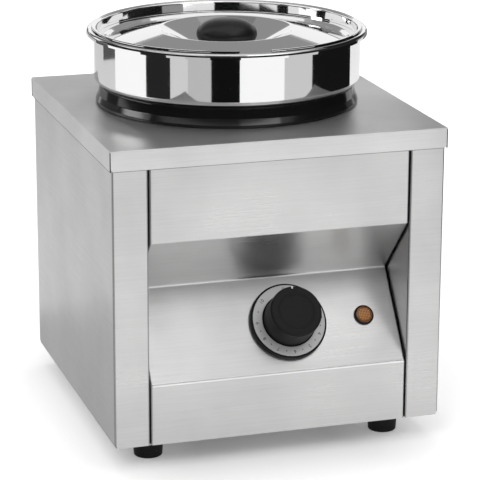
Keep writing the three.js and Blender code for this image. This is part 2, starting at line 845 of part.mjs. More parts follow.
const lidScrewSeat = dishFloor - seat;
add('lid_knob_screw', panScrew(
  lidScrewRadius, lidScrewHead, lidScrewHeadHeight, lidThreadTop - lidScrewSeat, false,
).rotateX(Math.PI), zinc, pan).position.z = lidScrewSeat;

// Dial, knob and thermostat, in the control panel's frame

const bezelBase = seat;
const bezelTop = bezelBase + bezelHeight;
add('dial_bezel', turned(ringOutline(vectors([
  [bezelHole, bezelBase], [bezelRadius, bezelBase], [bezelRadius, bezelTop - bezelEdge],
  [bezelRadius - bezelEdge, bezelTop], [bezelHole, bezelTop],
])), dialSides), black, controlFrame);
const ringBase = bezelTop + seat;
add('dial_ring', turned(ringOutline(vectors([
  [ringInner, ringBase], [ringRadius, ringBase],
  [ringRadius, ringBase + ringHeight], [ringInner, ringBase + ringHeight],
])), dialSides), silver, controlFrame);

// A bar along Z with one flat side, for the shaft and, with a clearance, its socket.
function flatBar(clearance, z0, z1) {
  const radius = shaftRadius + clearance;
  const top = shaftFlat + clearance;
  return cut(
    bar(radius, z0, z1, smallSides),
    block([-radius - overrun, radius + overrun], [top, radius + overrun], [z0 - overrun, z1 + overrun]),
  );
}

const knobBase = bezelTop + seat;
const knobSocket = knobBase + knobPin;
const shaftInside = thermostatDepth / 3;

function makeKnob() {
  const roof = knobFaceHeight - knobRoof;
  const grip = turned(vectors([
    [0, knobBase], [knobBoss, knobBase], [knobBoss, roof], [knobFaceRadius - knobWall, roof],
    [knobBaseRadius - knobWall, knobBase], [knobBaseRadius, knobBase],
    [knobFaceRadius, knobFaceHeight - knobEdge], [knobFaceRadius - knobEdge, knobFaceHeight],
    [0, knobFaceHeight],
  ]), dialSides);
  const socket = flatBar(seat, knobBase - overrun, knobSocket + seat);
  const half = pointerWidth / 2 + seat;
  const groove = block(
    [-half, half],
    [knobFaceRadius - pointerLength - seat, knobFaceRadius + overrun],
    [knobFaceHeight - pointerDepth - seat, knobFaceHeight + overrun],
  );
  return cut(grip, socket, groove);
}
add('control_knob', makeKnob(), black, controlFrame);
add('knob_pointer', block(
  [-pointerWidth / 2, pointerWidth / 2],
  [knobFaceRadius - pointerLength, knobFaceRadius],
  [knobFaceHeight - pointerDepth, knobFaceHeight],
), white, controlFrame);
add('control_shaft', flatBar(0, -shaftInside, knobSocket), zinc, controlFrame);

const panelBack = -sheet - seat;
const thermostatBack = panelBack - thermostatDepth;

function makeThermostat() {
  const halfW = thermostatWidth / 2;
  const halfL = thermostatLength / 2;
  const tabs = [];
  for (const side of [1, -1]) {
    tabs.push(block(
      [side * tabSide - tabWidth / 2, side * tabSide + tabWidth / 2],
      [-tabThickness / 2, tabThickness / 2],
      [thermostatBack - tabLength, thermostatBack + tabThickness],
    ));
  }
  const housing = joined(
    block([-halfW, halfW], [-halfL, halfL], [thermostatBack, panelBack]),
    bar(bushRadius, panelBack - sheet, bushStand),
    ...tabs,
  );
  const screws = [1, -1].map((side) => bar(
    screwRadius + seat, panelBack - screwLength, overrun, screwSides,
  ).translate((side * thermostatScrewSpacing) / 2, 0, 0));
  return cut(
    housing,
    bar(shaftRadius + seat, -shaftInside - seat, bushStand + overrun, smallSides),
    ...screws,
  );
}
add('thermostat', makeThermostat(), ceramic, controlFrame);
addEach(
  'thermostat_screw',
  plainScrew,
  zinc,
  [1, -1].map((side) => [(side * thermostatScrewSpacing) / 2, 0, seat]),
  controlFrame,
);

// Indicator lamp, in the same frame

const lampGroup = new THREE.Group();
lampGroup.position.x = lampAcross;
controlFrame.add(lampGroup);

add('lamp_bezel', turned(ringOutline(vectors([
  [lampBodyRadius + seat, seat], [lampBezelRadius, seat],
  [lampBezelRadius, lampBezelFlange], [lampBezelRadius - lampBezelFlange, lampBezelHeight],
  [lampHoleRadius, lampBezelHeight], [lampHoleRadius, lampBezelFlange + seat],
  [lampBodyRadius + seat, lampBezelFlange + seat],
])), smallSides), black, lampGroup);
const lensBase = lampBezelFlange + seat * 2;
add('lamp_lens', turned(vectors([
  [0, lensBase], [lampLensRadius, lensBase], [lampLensRadius, lensBase + lampLensHeight / 2],
  [lampLensRadius * 0.8, lensBase + lampLensHeight * 0.85], [0, lensBase + lampLensHeight],
]), smallSides), amber, lampGroup);
const lampBodyTop = lensBase - seat;
const lampBodyBack = -lampBodyLength;
const lampTabs = [1, -1].map((side) => block(
  [side * lampTabSide - lampTabWidth / 2, side * lampTabSide + lampTabWidth / 2],
  [-tabThickness / 2, tabThickness / 2],
  [lampBodyBack - tabLength, lampBodyBack + tabThickness],
));
const lampLugs = block(
  [-lampLugReach, lampLugReach],
  [-lampLugWidth / 2, lampLugWidth / 2],
  [panelBack - lampLugHeight, panelBack],
);
add('lamp_body', joined(
  bar(lampBodyRadius, lampBodyBack, lampBodyTop, smallSides),
  lampLugs,
  ...lampTabs,
), white, lampGroup);

// Heater stack, hung on the well's stud

const spreaderTop = wellBottom - seat;
const spreaderUnder = spreaderTop - spreaderSheet;
add('heat_spreader', collar(
  spreaderRadius, studRadius + seat, spreaderUnder, spreaderTop, dialSides,
), aluminium, pan);

const elementLevel = spreaderUnder - seat - elementRadius;
const elementEnds = [1, -1].map((side) => {
  const half = THREE.MathUtils.degToRad(elementGapAngle / 2);
  const x = side * elementRing * Math.sin(half) * 0.9;
  return [x, elementRing + elementLead];
});

function makeElement() {
  const points = [];
  const [right, left] = elementEnds;
  points.push(new THREE.Vector3(right[0], right[1], elementLevel));
  points.push(new THREE.Vector3(right[0], elementRing + elementLead / 2, elementLevel));
  const first = 90 - elementGapAngle;
  const sweep = 360 - 2 * elementGapAngle;
  for (let step = 0; step <= elementArcSteps; step += 1) {
    const turn = THREE.MathUtils.degToRad(first - (sweep * step) / elementArcSteps);
    points.push(new THREE.Vector3(
      elementRing * Math.cos(turn),
      elementRing * Math.sin(turn),
      elementLevel,
    ));
  }
  points.push(new THREE.Vector3(left[0], elementRing + elementLead / 2, elementLevel));
  points.push(new THREE.Vector3(left[0], left[1], elementLevel));
  return tubeAlong(points, elementRadius, elementArcSteps * 2, 6);
}
add('heating_element', makeElement(), zinc, pan);

const insulatorStart = elementRing + elementLead + seat;
const terminalEnd = insulatorStart + insulatorLength + terminalLength;
const terminal = joined(
  bar(insulatorRadius, 0, insulatorLength, smallSides),
  bar(terminalRadius, insulatorLength - seat, insulatorLength + terminalLength, screwSides),
).rotateX(-Math.PI / 2);
addEach(
  'element_terminal',
  terminal,
  ceramic,
  elementEnds.map(([x]) => [x, insulatorStart, elementLevel]),
  pan,
);

const clampTop = elementLevel - elementRadius - seat;
const clampUnder = clampTop - clampSheet;
add('heater_clamp', collar(
  clampRadius, studRadius + seat, clampUnder, clampTop, dialSides,
), zinc, pan);
const nutTop = clampUnder - seat;
add('heater_nut', collar(
  studNutRadius, studRadius + seat, nutTop - studNutHeight, nutTop, 6,
), zinc, pan);

const cutoutTop = clampUnder - seat;
const cutoutBottom = cutoutTop - cutoutHeight;
const cutoutTabs = [1, -1].map((side) => block(
  [cutoutSide + side * cutoutTabSide - tabThickness / 2, cutoutSide + side * cutoutTabSide + tabThickness / 2],
  [-tabWidth / 2, tabWidth / 2],
  [cutoutBottom - tabLength, cutoutBottom + tabThickness],
));
add('thermal_cutout', joined(
  bar(cutoutRadius, cutoutBottom, cutoutTop, smallSides).translate(cutoutSide, 0, 0),
  ...cutoutTabs,
), ceramic, pan);

// Thermostat bulb, clipped upright against the well's wall

const bulbDistance = wellRadius + seat + bulbRadius;
const bulbTurn = THREE.MathUtils.degToRad(bulbAngle);
const bulbX = bulbDistance * Math.cos(bulbTurn);
const bulbY = bulbDistance * Math.sin(bulbTurn) + wellBack;
const bulbLow = wellBottom + bulbRise;

function makeBulb() {
  const bulb = bar(bulbRadius, bulbLow, bulbLow + bulbLength, screwSides).translate(bulbX, bulbY, 0);
  const start = controlPoint(0, -thermostatLength / 4, thermostatBack - seat);
  const drop = controlPoint(0, -thermostatLength / 4, thermostatBack - tabLength * 2);
  const points = [
    start,
    drop,
    new THREE.Vector3(-coverWidth / 8, -coverDepth / 10, floorLevel + casingHeight / 5),
    new THREE.Vector3(bulbX * 0.9, bulbY * 0.5, floorLevel + casingHeight / 3),
    new THREE.Vector3(bulbX, bulbY, bulbLow - bulbRise),
    new THREE.Vector3(bulbX, bulbY, bulbLow + bulbRadius),
  ];
  return joined(bulb, tubeAlong(points, capillaryRadius, wireSteps * 2, wireSides));
}
add('thermostat_bulb', makeBulb(), copper);

function makeBulbClip() {
  const hold = bulbRadius + seat;
  const near = wellRadius + seat;
  const plan = sheetOutline([
    [near, -hold - clipFoot], [near, -hold],
    [near + hold + bulbRadius, -hold, bulbRadius],
    [near + hold + bulbRadius, hold, bulbRadius],
    [near, hold], [near, hold + clipFoot],
  ], -clipSheet);
  const middle = bulbLow + bulbLength / 2;
  return extruded(plan, clipHeight).translate(0, 0, middle - clipHeight / 2).rotateZ(bulbTurn);
}
add('bulb_clip', makeBulbClip(), steel, pan);

// Mains side: gland, terminal block, earth stud and wires

const glandLevel = floorLevel + glandHeight;
const gland = new THREE.Group();
gland.position.set(glandSide, halfDepth, glandLevel);
gland.rotation.x = -Math.PI / 2; // its Z runs out of the back
body.add(gland);

const glandFace = seat;
const capStart = glandFace + glandHexLength + seat;
const glandReach = capStart + glandCapLength;
add('cable_gland', cut(
  joined(
    bar(glandThread, -glandInside, glandFace + glandHexLength / 2),
    hexBar(glandHex, glandFace, glandFace + glandHexLength),
  ),
  bar(glandBore, -glandInside - overrun, capStart),
), black, gland);
add('gland_cap', cut(
  turned(vectors([
    [0, capStart], [glandCapRadius, capStart], [glandCapRadius, glandReach - glandCapRadius / 3],
    [glandCapRadius * 0.75, glandReach], [0, glandReach],
  ]), smallSides),
  bar(glandCableBore, capStart - overrun, glandReach + overrun),
), black, gland);
add('gland_nut', collar(
  glandHex, glandThread + seat, -sheet - seat - glandNutLength, -sheet - seat, 6,
), black, gland);

const blockBase = floorLevel + sheet + seat;
const blockTop = blockBase + blockHeight;
const wireLevel = blockBase + blockHeight / 2;
const poleSide = (pole) => blockSide + (pole - (blockPoleCount - 1) / 2) * blockPole;

function makeTerminalBlock() {
  const base = block(
    [blockSide - blockWidth / 2, blockSide + blockWidth / 2],
    [blockBack - blockDepth / 2, blockBack + blockDepth / 2],
    [blockBase, blockTop],
  );
  const legs = [];
  const legRadius = screwRadius + screwClearance - seat;
  for (const side of [1, -1]) {
    const hookTop = floorLevel - seat;
    const leg = vectors([
      [0, hookTop - screwHeadHeight], [legRadius, hookTop - screwHeadHeight],
      [legRadius + blockLegHook, hookTop], [legRadius, hookTop],
      [legRadius, blockBase + seat], [0, blockBase + seat],
    ]);
    legs.push(turned(leg, screwSides).translate(blockSide + side * blockLegSide, blockBack, 0));
  }
  const bores = [];
  for (let pole = 0; pole < blockPoleCount; pole += 1) {
    const bore = bar(blockBore, -blockDepth, blockDepth, screwSides).rotateX(-Math.PI / 2);
    bores.push(bore.translate(poleSide(pole), blockBack, wireLevel));
  }
  return cut(joined(base, ...legs), ...bores);
}
add('terminal_block', makeTerminalBlock(), ceramic);

const earthBase = floorLevel + sheet + seat;
add('earth_stud', joined(
  bar(earthCollar, earthBase, earthBase + sheet, smallSides),
  bar(earthRadius, earthBase, earthBase + earthLength, screwSides),
), copper).position.set(earthSide, earthBack, 0);

const lead = (points) => tubeAlong(points, wireRadius, wireSteps, wireSides);
const point = (x, y, z) => new THREE.Vector3(x, y, z);
const blockFront = blockBack - blockDepth / 2 - seat;
const elementTip = (side) => point(
  elementEnds[side][0],
  wellBack + terminalEnd + seat,
  elementLevel,
);
const elementTurn = (side, drop) => elementTip(side).add(point(0, wireTurn, -drop));
const tabTip = (side) => controlPoint(side * tabSide, 0, thermostatBack - tabLength - seat);
const tabOut = (side) => controlPoint(side * tabSide, 0, thermostatBack - tabLength * 2);
const lampTip = (side) => controlPoint(
  lampAcross + side * lampTabSide,
  0,
  lampBodyBack - tabLength - seat,
);
const lampOut = (side) => lampTip(side).add(
  controlPoint(0, 0, -tabLength).sub(controlPoint(0, 0, 0)),
);
const cutoutTip = (side, drop) => point(
  cutoutSide + side * cutoutTabSide,
  wellBack,
  cutoutBottom - tabLength - seat - drop,
);

add('wire_block_to_thermostat', lead([
  point(poleSide(0), blockFront, wireLevel),
  point(poleSide(0), blockFront - blockDepth, wireLevel),
  tabOut(1),
  tabTip(1),
]), brownWire);

// The lamp's leads are crimped to these two wires.
const crimp = ({ x, y, z }) => {
  const reach = wireRadius * 2;
  return block([x - reach, x + reach], [y - reach, y + reach], [z - reach, z + reach]);
};
const brownSplice = point(0, -coverDepth / 10, floorLevel + casingHeight / 4);
add('wire_thermostat_to_cutout', joined(
  lead([
    tabTip(-1),
    tabOut(-1),
    brownSplice,
    cutoutTip(-1, tabLength * 2),
    cutoutTip(-1, 0),
  ]),
  lead([
    lampTip(-1),
    lampOut(-1),
    point(lampSide / 2, -coverDepth / 6, floorLevel + casingHeight / 4),
    brownSplice,
  ]),
  crimp(brownSplice),
), brownWire);
const blueSplice = point(
  poleSide(1) - blockPole / 2,
  blockFront - blockDepth,
  wireLevel + blockHeight / 2,
);
add('wire_block_to_element', joined(
  lead([
    point(poleSide(1), blockFront, wireLevel),
    blueSplice,
    point(-coverWidth / 15, coverDepth / 6, floorLevel + casingHeight / 4),
    elementTurn(1, tabLength * 3),
    elementTurn(1, tabLength),
    elementTip(1),
  ]),
  lead([
    lampTip(1),
    lampOut(1),
    point(lampSide * 0.8, -coverDepth / 12, floorLevel + casingHeight / 6),
    blueSplice,
  ]),
  crimp(blueSplice),
), blueWire);

add('wire_cutout_to_element', lead([
  cutoutTip(1, 0),
  cutoutTip(1, tabLength * 2),
  point(cutoutSide, coverDepth / 4, floorLevel + casingHeight * 0.4),
  elementTurn(0, tabLength * 2),
  elementTurn(0, tabLength),
  elementTip(0),
]), brownWire);
add('wire_earth', lead([
  point(poleSide(2), blockFront, wireLevel),
  point(poleSide(2) + blockPole / 4, blockFront - blockDepth / 2, wireLevel),
  point(earthSide - blockPole, earthBack - blockPole, earthBase + sheet + seat * 2 + wireRadius),
  point(earthSide - earthRadius - wireRadius - seat, earthBack, earthBase + sheet + seat + wireRadius),
]), greenWire);

// The outline reaches from the knob's lower edge at the front to the gland at the back
const knobReach = -controlPoint(0, knobEdge - knobFaceRadius, knobFaceHeight).y;
body.position.y = (knobReach - halfDepth - glandReach) / 2;

export default group;
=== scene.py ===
# A counter-top bain marie with one round pot: its looks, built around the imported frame.
# The sizes of the object are in millimetres, and those of the studio in metres.

from math import acos, asin, atan2, copysign, cos, hypot, pi, radians, sin, tan

import bpy
import bmesh
from mathutils import Matrix, Vector


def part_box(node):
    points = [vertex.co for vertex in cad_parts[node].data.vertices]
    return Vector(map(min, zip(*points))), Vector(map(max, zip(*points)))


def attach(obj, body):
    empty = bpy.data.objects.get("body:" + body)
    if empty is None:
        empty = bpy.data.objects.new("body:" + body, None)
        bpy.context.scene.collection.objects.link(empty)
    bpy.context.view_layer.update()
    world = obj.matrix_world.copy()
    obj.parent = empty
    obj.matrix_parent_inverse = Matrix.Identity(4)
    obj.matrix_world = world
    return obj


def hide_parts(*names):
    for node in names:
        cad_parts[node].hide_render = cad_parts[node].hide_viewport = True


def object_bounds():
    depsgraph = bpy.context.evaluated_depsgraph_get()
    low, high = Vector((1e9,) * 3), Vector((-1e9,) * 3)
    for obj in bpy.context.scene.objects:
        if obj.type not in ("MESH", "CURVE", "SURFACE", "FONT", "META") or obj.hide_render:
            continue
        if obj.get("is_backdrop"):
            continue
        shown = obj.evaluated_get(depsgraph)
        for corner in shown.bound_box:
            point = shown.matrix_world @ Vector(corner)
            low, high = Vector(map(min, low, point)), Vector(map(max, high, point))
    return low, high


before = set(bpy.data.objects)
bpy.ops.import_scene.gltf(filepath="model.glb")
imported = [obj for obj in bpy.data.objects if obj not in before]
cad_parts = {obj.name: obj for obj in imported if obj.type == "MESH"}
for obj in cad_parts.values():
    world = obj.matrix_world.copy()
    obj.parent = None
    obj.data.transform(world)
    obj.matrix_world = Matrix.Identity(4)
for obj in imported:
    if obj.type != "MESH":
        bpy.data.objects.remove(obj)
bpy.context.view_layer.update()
MM = 0.001
X, Y, Z = 0, 1, 2


def centre_of(node_name):
    """The middle of a node of the frame, in millimetres."""
    low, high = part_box(node_name)
    return [(start + end) / 2 / MM for start, end in zip(low, high)]


# Sizes that the solids have too

SHIFT = centre_of("top_cover")[Y]  # the casing's middle along Y
COVER_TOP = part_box("top_cover")[1][Z] / MM
PAN_Y = centre_of("pot")[Y]  # the axis of pot, lid and well
POT_BOTTOM, RIM = [corner[Z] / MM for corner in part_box("pot")]
CASING_LOW = 22.0  # the casing's lower edge
HALF_DEPTH = 148.5  # of the casing below its cover
SHEET = 1.0  # the steel's thickness
SEAT = 0.3  # the gap where pieces rest on each other

# The front's folds, above the casing's lower edge, and how far its recess goes in
FOLD_HEIGHT = 54
RECESS_HEIGHT = 126
BROW_HEIGHT = 180.5
RECESS_DEPTH = 53

# The control panel between the two lower folds, with its dial and lamp to the right of the middle
PANEL_RISE = RECESS_HEIGHT - FOLD_HEIGHT
PANEL_ANGLE = atan2(PANEL_RISE, RECESS_DEPTH)
DIAL_SHARE = 0.507  # of the panel's slope, from its lower fold
DIAL_RUN = hypot(PANEL_RISE, RECESS_DEPTH) * DIAL_SHARE
DIAL_SIDE = 15.3
LAMP_SIDE = 86.4

CONTROL = Matrix.Translation((
    DIAL_SIDE,
    SHIFT - HALF_DEPTH + DIAL_RUN * cos(PANEL_ANGLE),
    CASING_LOW + FOLD_HEIGHT + DIAL_RUN * sin(PANEL_ANGLE),
)) @ Matrix.Rotation(PANEL_ANGLE, 4, "X")
LAMP = CONTROL @ Matrix.Translation((LAMP_SIDE - DIAL_SIDE, 0, 0))
PAN = Matrix.Translation((0, PAN_Y, 0))
FACING_DOWN = Matrix.Rotation(pi, 4, "X")
FACING_BACK = Matrix.Rotation(-pi / 2, 4, "X")


def spin(degrees):
    """A turn round Z."""
    return Matrix.Rotation(radians(degrees), 4, "Z")


# Shapes: each is a bmesh in millimetres

MERGE = 1e-4  # points closer than this become one
SLIVER = 1e-5  # edges shorter than this go
LEAST_BEND = 0.02


def rounded(corners, steps=8):
    """The points of a line of corners (u, v, radius), each bend drawn as an arc."""
    line = []
    for i, corner in enumerate(corners):
        here = Vector(corner[:2])
        radius = corner[2] if len(corner) > 2 else 0
        if radius <= 0 or i in (0, len(corners) - 1):
            line.append(here)
            continue
        back = (Vector(corners[i - 1][:2]) - here).normalized()
        on = (Vector(corners[i + 1][:2]) - here).normalized()
        half = acos(max(-1, min(1, back.dot(on)))) / 2
        reach = radius / tan(half)
        hub = here + (back + on).normalized() * (radius / sin(half))
        first = here + back * reach - hub
        sweep = (pi - 2 * half) * copysign(1, on.x * back.y - on.y * back.x)
        for step in range(steps + 1):
            turn = sweep * step / steps
            cosine = cos(turn)
            sine = sin(turn)
            line.append(hub + Vector((first.x * cosine - first.y * sine, first.x * sine + first.y * cosine)))
    return line


def beside(corners, distance):
    """The line beside a line of corners, to its left, with bends round the same centres."""
    points = [Vector(corner[:2]) for corner in corners]
    made = []
    for i, corner in enumerate(corners):
        end = max(i, 1)
        start = min(i, len(points) - 2)
        into = (points[end] - points[end - 1]).normalized()
        out = (points[start + 1] - points[start]).normalized()
        left = Vector((-into.y - out.y, into.x + out.x)).normalized()
        spot = points[i] + left * (distance / left.dot(Vector((-into.y, into.x))))
        turn = into.x * out.y - into.y * out.x
        radius = corner[2] if len(corner) > 2 else 0
        if radius > 0:
            radius = max(radius - distance * copysign(1, turn), LEAST_BEND)
        made.append((spot.x, spot.y, radius))
    return made


def sheet_outline(corners, steps=9):
    """The closed outline of a steel sheet with one face along a line of corners."""
    return rounded(corners, steps) + rounded(beside(corners, SHEET), steps)[::-1]


def closed_outline(corners, steps=6):
    """A closed outline, whose first corner has no bend."""
    return rounded([*corners, corners[0]], steps)[:-1]


def turned(outline, steps):
    """A closed outline of (radius, height), turned round Z."""
    shape = bmesh.new()
    rings = []
    for radius, height in outline:
        if radius < MERGE:
            rings.append([shape.verts.new((0, 0, height))])
            continue
        turns = [2 * pi * step / steps for step in range(steps)]
        rings.append([shape.verts.new((radius * cos(turn), radius * sin(turn), height)) for turn in turns])
    for low, high in zip(rings, rings[1:] + rings[:1]):
        if len(low) == 1 and len(high) == 1:
            continue
        for step in range(steps):
            on = (step + 1) % steps
            loop = (low[step % len(low)], low[on % len(low)], high[on % len(high)], high[step % len(high)])
            shape.faces.new(list(dict.fromkeys(loop)))
    return shape


def pin(radius, low, high, steps=32):
    """A plain cylinder round Z."""
    return turned([(0, low), (radius, low), (radius, high), (0, high)], steps)


def block(low, high):
    """A box between two corners."""
    shape = bmesh.new()
    bmesh.ops.create_cube(shape, size=1)
    low, high = Vector(low), Vector(high)
    shape.transform(Matrix.Translation((low + high) / 2) @ Matrix.Diagonal((*(high - low), 1)))
    return shape


def mesh_from(name, shape):
    """A mesh made from a shape, which is freed."""
    mesh = bpy.data.meshes.new(name)
    shape.to_mesh(mesh)
    shape.free()
    return mesh


def add_object(name, data):
    """A new object in the scene."""
    made = bpy.data.objects.new(name, data)
    bpy.context.scene.collection.objects.link(made)
    return made


def shape_of(thing):
    """The shape that an object has with its modifiers."""
    graph = bpy.context.evaluated_depsgraph_get()
    mesh = bpy.data.meshes.new_from_object(thing.evaluated_get(graph))
    shape = bmesh.new()
    shape.from_mesh(mesh)
    bpy.data.meshes.remove(mesh)
    return shape


def joined(*parts):
    """Several shapes as one, side by side."""
    whole = bmesh.new()
    for part in parts:
        mesh = mesh_from("part", part)
        whole.from_mesh(mesh)
        bpy.data.meshes.remove(mesh)
    return whole


def cut(base, *cutters):
    """The base less each cutter, by Blender's exact boolean."""
    bmesh.ops.remove_doubles(base, verts=base.verts, dist=MERGE)
    bmesh.ops.recalc_face_normals(base, faces=base.faces)
    target = add_object("base", mesh_from("base", base))
    tools = []
    for cutter in cutters:
        bmesh.ops.recalc_face_normals(cutter, faces=cutter.faces)
        tool = add_object("tool", mesh_from("tool", cutter))
        step = target.modifiers.new("cut", "BOOLEAN")
        step.operation = "DIFFERENCE"
        step.solver = "EXACT"
        step.object = tool
        tools.append(tool)
    shape = shape_of(target)
    for thing in (target, *tools):
        bpy.data.objects.remove(thing)
    return shape


def weigh_normals(piece):
    """Shades flat faces flat, up to their bends."""
    normals = piece.modifiers.new("normals", "WEIGHTED_NORMAL")
    normals.keep_sharp = True


def add_piece(name, shape, material, place=None, body="casing", smooth=40, replaces=None,
              flat=True):
    """A visible piece. Edges sharper than smooth, in degrees, stay sharp, and flat shades flat faces flat."""
    bmesh.ops.remove_doubles(shape, verts=shape.verts, dist=MERGE)
    bmesh.ops.dissolve_degenerate(shape, edges=shape.edges, dist=SLIVER)
    bmesh.ops.recalc_face_normals(shape, faces=shape.faces)
    if place is not None:
        shape.transform(place)
    shape.transform(Matrix.Scale(MM, 4))
    mesh = mesh_from(name, shape)
    mesh.polygons.foreach_set("use_smooth", [True] * len(mesh.polygons))
    mesh.set_sharp_from_angle(angle=radians(smooth))
    mesh.materials.append(material)
    piece = add_object(name, mesh)
    if flat:
        weigh_normals(piece)
    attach(piece, body)
    if replaces:
        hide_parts(replaces)


# Nodes

def fill(tree, made, inputs):
    """Gives inputs of a node, by name or number, a value or another node's output."""
    for key, value in inputs.items():
        if isinstance(value, bpy.types.NodeSocket):
            tree.links.new(value, made.inputs[key])
        else:
            made.inputs[key].default_value = value


def node(tree, kind, inputs=None, **settings):
    """A new node with its settings and inputs."""
    made = tree.nodes.new(kind)
    for key, value in settings.items():
        setattr(made, key, value)
    fill(tree, made, inputs or {})
    return made


def math_node(tree, operation, *values):
    """One step of arithmetic on outputs and plain numbers."""
    return node(tree, "ShaderNodeMath", dict(enumerate(values)), operation=operation).outputs[0]


def vector_node(tree, operation, *values):
    """One step of arithmetic on vectors."""
    return node(tree, "ShaderNodeVectorMath", dict(enumerate(values)), operation=operation).outputs[0]


def alike(value):
    """A grey, or a scale that is even along X, Y and Z."""
    return (value, value, value)


def noise_of(tree, scale, detail, rough):
    """Noise over the object, with a scale for each axis."""
    place = node(tree, "ShaderNodeTexCoord")
    mapping = node(tree, "ShaderNodeMapping", {"Scale": scale, "Vector": place.outputs["Object"]})
    made = node(tree, "ShaderNodeTexNoise", {
        "Scale": 1, "Detail": detail, "Roughness": rough, "Vector": mapping.outputs["Vector"],
    })
    return made.outputs["Fac"]


def ranged(tree, value, low, high, start=0.0, end=1.0):
    """A value that goes from low to high while the given one goes from start to end."""
    made = node(tree, "ShaderNodeMapRange", {
        "Value": value, "From Min": start, "From Max": end, "To Min": low, "To Max": high,
    })
    return made.outputs["Result"]


def mixed(tree, factor, first, second):
    """A colour between two plain ones."""
    made = node(tree, "ShaderNodeMix", {"Factor": factor, 6: (*first, 1), 7: (*second, 1)}, data_type="RGBA")
    return made.outputs[2]


def bumped(tree, shader, height, strength, distance):
    """Gives a shader's surface a relief."""
    made = node(tree, "ShaderNodeBump", {"Strength": strength, "Distance": distance, "Height": height})
    fill(tree, shader, {"Normal": made.outputs["Normal"]})


def new_material(name):
    """A material with its tree and its shader."""
    material = bpy.data.materials.new(name)
    material.use_nodes = True
    tree = material.node_tree
    return material, tree, tree.nodes["Principled BSDF"]


# Kinds of material. A scale is in waves per metre, and a relief's distance in metres

# Painted shade darkens the sheets' upright folds, and a painted highlight lightens the control panel's lower
# fold, for what such narrow bends mirror.
FOLD_START, FOLD_END = 0.1, 0.4  # of an upright fold's value, 0.5 at most
FOLD_PAINTED_SHADE = 0.5
LOWER_FOLD_PAINTED_HIGHLIGHT = 1.38
RISING = (0.03, 0.12)  # how far a face looks up where the lower fold starts
LEANING = (0.565, 0.585)  # and where it goes over into the control panel


def fold_tone(tree):
    """A colour scale: below 1 as painted shade in the sheets' upright folds, above 1 as a painted highlight
    in the control panel's lower fold.
    """
    around = node(tree, "ShaderNodeNewGeometry")
    split = node(tree, "ShaderNodeSeparateXYZ", {0: around.outputs["True Normal"]})
    right, back, up = split.outputs
    upright = math_node(tree, "ABSOLUTE", math_node(tree, "MULTIPLY", right, back))
    lower = math_node(tree, "MULTIPLY", ranged(tree, up, 0, 1, *RISING), ranged(tree, up, 1, 0, *LEANING))
    darker = ranged(tree, upright, 1, FOLD_PAINTED_SHADE, FOLD_START, FOLD_END)
    return math_node(tree, "MULTIPLY", darker, ranged(tree, lower, 1, LOWER_FOLD_PAINTED_HIGHLIGHT))


def level_tangent(tree):
    """The level direction along a face, or X where the face is level."""
    around = node(tree, "ShaderNodeNewGeometry")
    level = vector_node(tree, "CROSS_PRODUCT", around.outputs["True Normal"], (0, 0, 1))
    return vector_node(tree, "NORMALIZE", vector_node(tree, "ADD", level, (0.002, 0, 0)))


def brushed(name, light, dark, rough, scale, anisotropy=0, grain=0.12):
    """Sheet steel with a fine grain along one axis, faint blotches, a spread of roughness and painted shade
    and highlights in its folds.
    """
    material, tree, shader = new_material(name)
    fine = noise_of(tree, scale, detail=4, rough=0.65)
    blotch = noise_of(tree, alike(9), detail=3, rough=0.55)
    fine_share = ranged(tree, fine, 0, 0.45, start=0.3, end=0.7)
    blotch_share = ranged(tree, blotch, 0, 0.55, start=0.35, end=0.65)
    both = math_node(tree, "ADD", fine_share, blotch_share)
    steel = mixed(tree, both, dark, light)
    steel_with_painted_folds = node(tree, "ShaderNodeVectorMath", {0: steel, "Scale": fold_tone(tree)}, operation="SCALE")
    fill(tree, shader, {
        "Metallic": 1,
        "Base Color": steel_with_painted_folds.outputs[0],
        "Roughness": ranged(tree, both, rough + 0.05, rough - 0.04),
    })
    bumped(tree, shader, fine, grain, 0.00003)
    if anisotropy:
        fill(tree, shader, {
            "Anisotropic": anisotropy, "Anisotropic Rotation": 0.25, "Tangent": level_tangent(tree),
        })
    return material


def polished(name, tint, rough, wave):
    """Mirror-polished steel: a slight haze, hairline marks and a faint waviness from pressing."""
    material, tree, shader = new_material(name)
    haze = noise_of(tree, alike(35), detail=4, rough=0.6)
    hazy_tint = tuple(part * 0.96 for part in tint)
    fill(tree, shader, {
        "Metallic": 1,
        "Base Color": mixed(tree, haze, hazy_tint, tint),
        "Roughness": ranged(tree, haze, rough * 0.6, rough * 1.5, start=0.3, end=0.7),
    })
    hair = noise_of(tree, (60, 60, 2600), detail=2, rough=0.5)
    soft = noise_of(tree, (12, 12, 20), detail=1, rough=0.4)
    bumped(tree, shader, math_node(tree, "MULTIPLY_ADD", hair, 0.02, soft), wave, 0.002)
    return material


def plain(name, first, second, rough=0.6, scale=1200, bump=0.1, distance=0.0001, metallic=0.0, specular=0.5,
          spread=0.07):
    """Moulded or painted stuff: mottled colour, uneven roughness and a fine surface texture."""
    material, tree, shader = new_material(name)
    wide = noise_of(tree, alike(45), detail=3, rough=0.5)
    fine = noise_of(tree, alike(scale), detail=3, rough=0.6)
    fill(tree, shader, {
        "Metallic": metallic,
        "Specular IOR Level": specular,
        "Base Color": mixed(tree, wide, first, second),
        "Roughness": ranged(tree, fine, rough - spread, rough + spread, start=0.3, end=0.7),
    })
    bumped(tree, shader, fine, bump, distance)
    return material


def tinted(name, deep, bright):
    """Tinted plastic under a clear skin, unevenly coloured."""
    material, tree, shader = new_material(name)
    mottle = noise_of(tree, alike(900), detail=3, rough=0.6)
    share = ranged(tree, mottle, 0, 1, start=0.3, end=0.7)
    fill(tree, shader, {
        "Coat Weight": 0.35,
        "Coat Roughness": 0.08,
        "Roughness": 0.28,
        "Base Color": mixed(tree, share, deep, bright),
    })
    bumped(tree, shader, mottle, 0.4, 0.0002)
    return material


# Materials

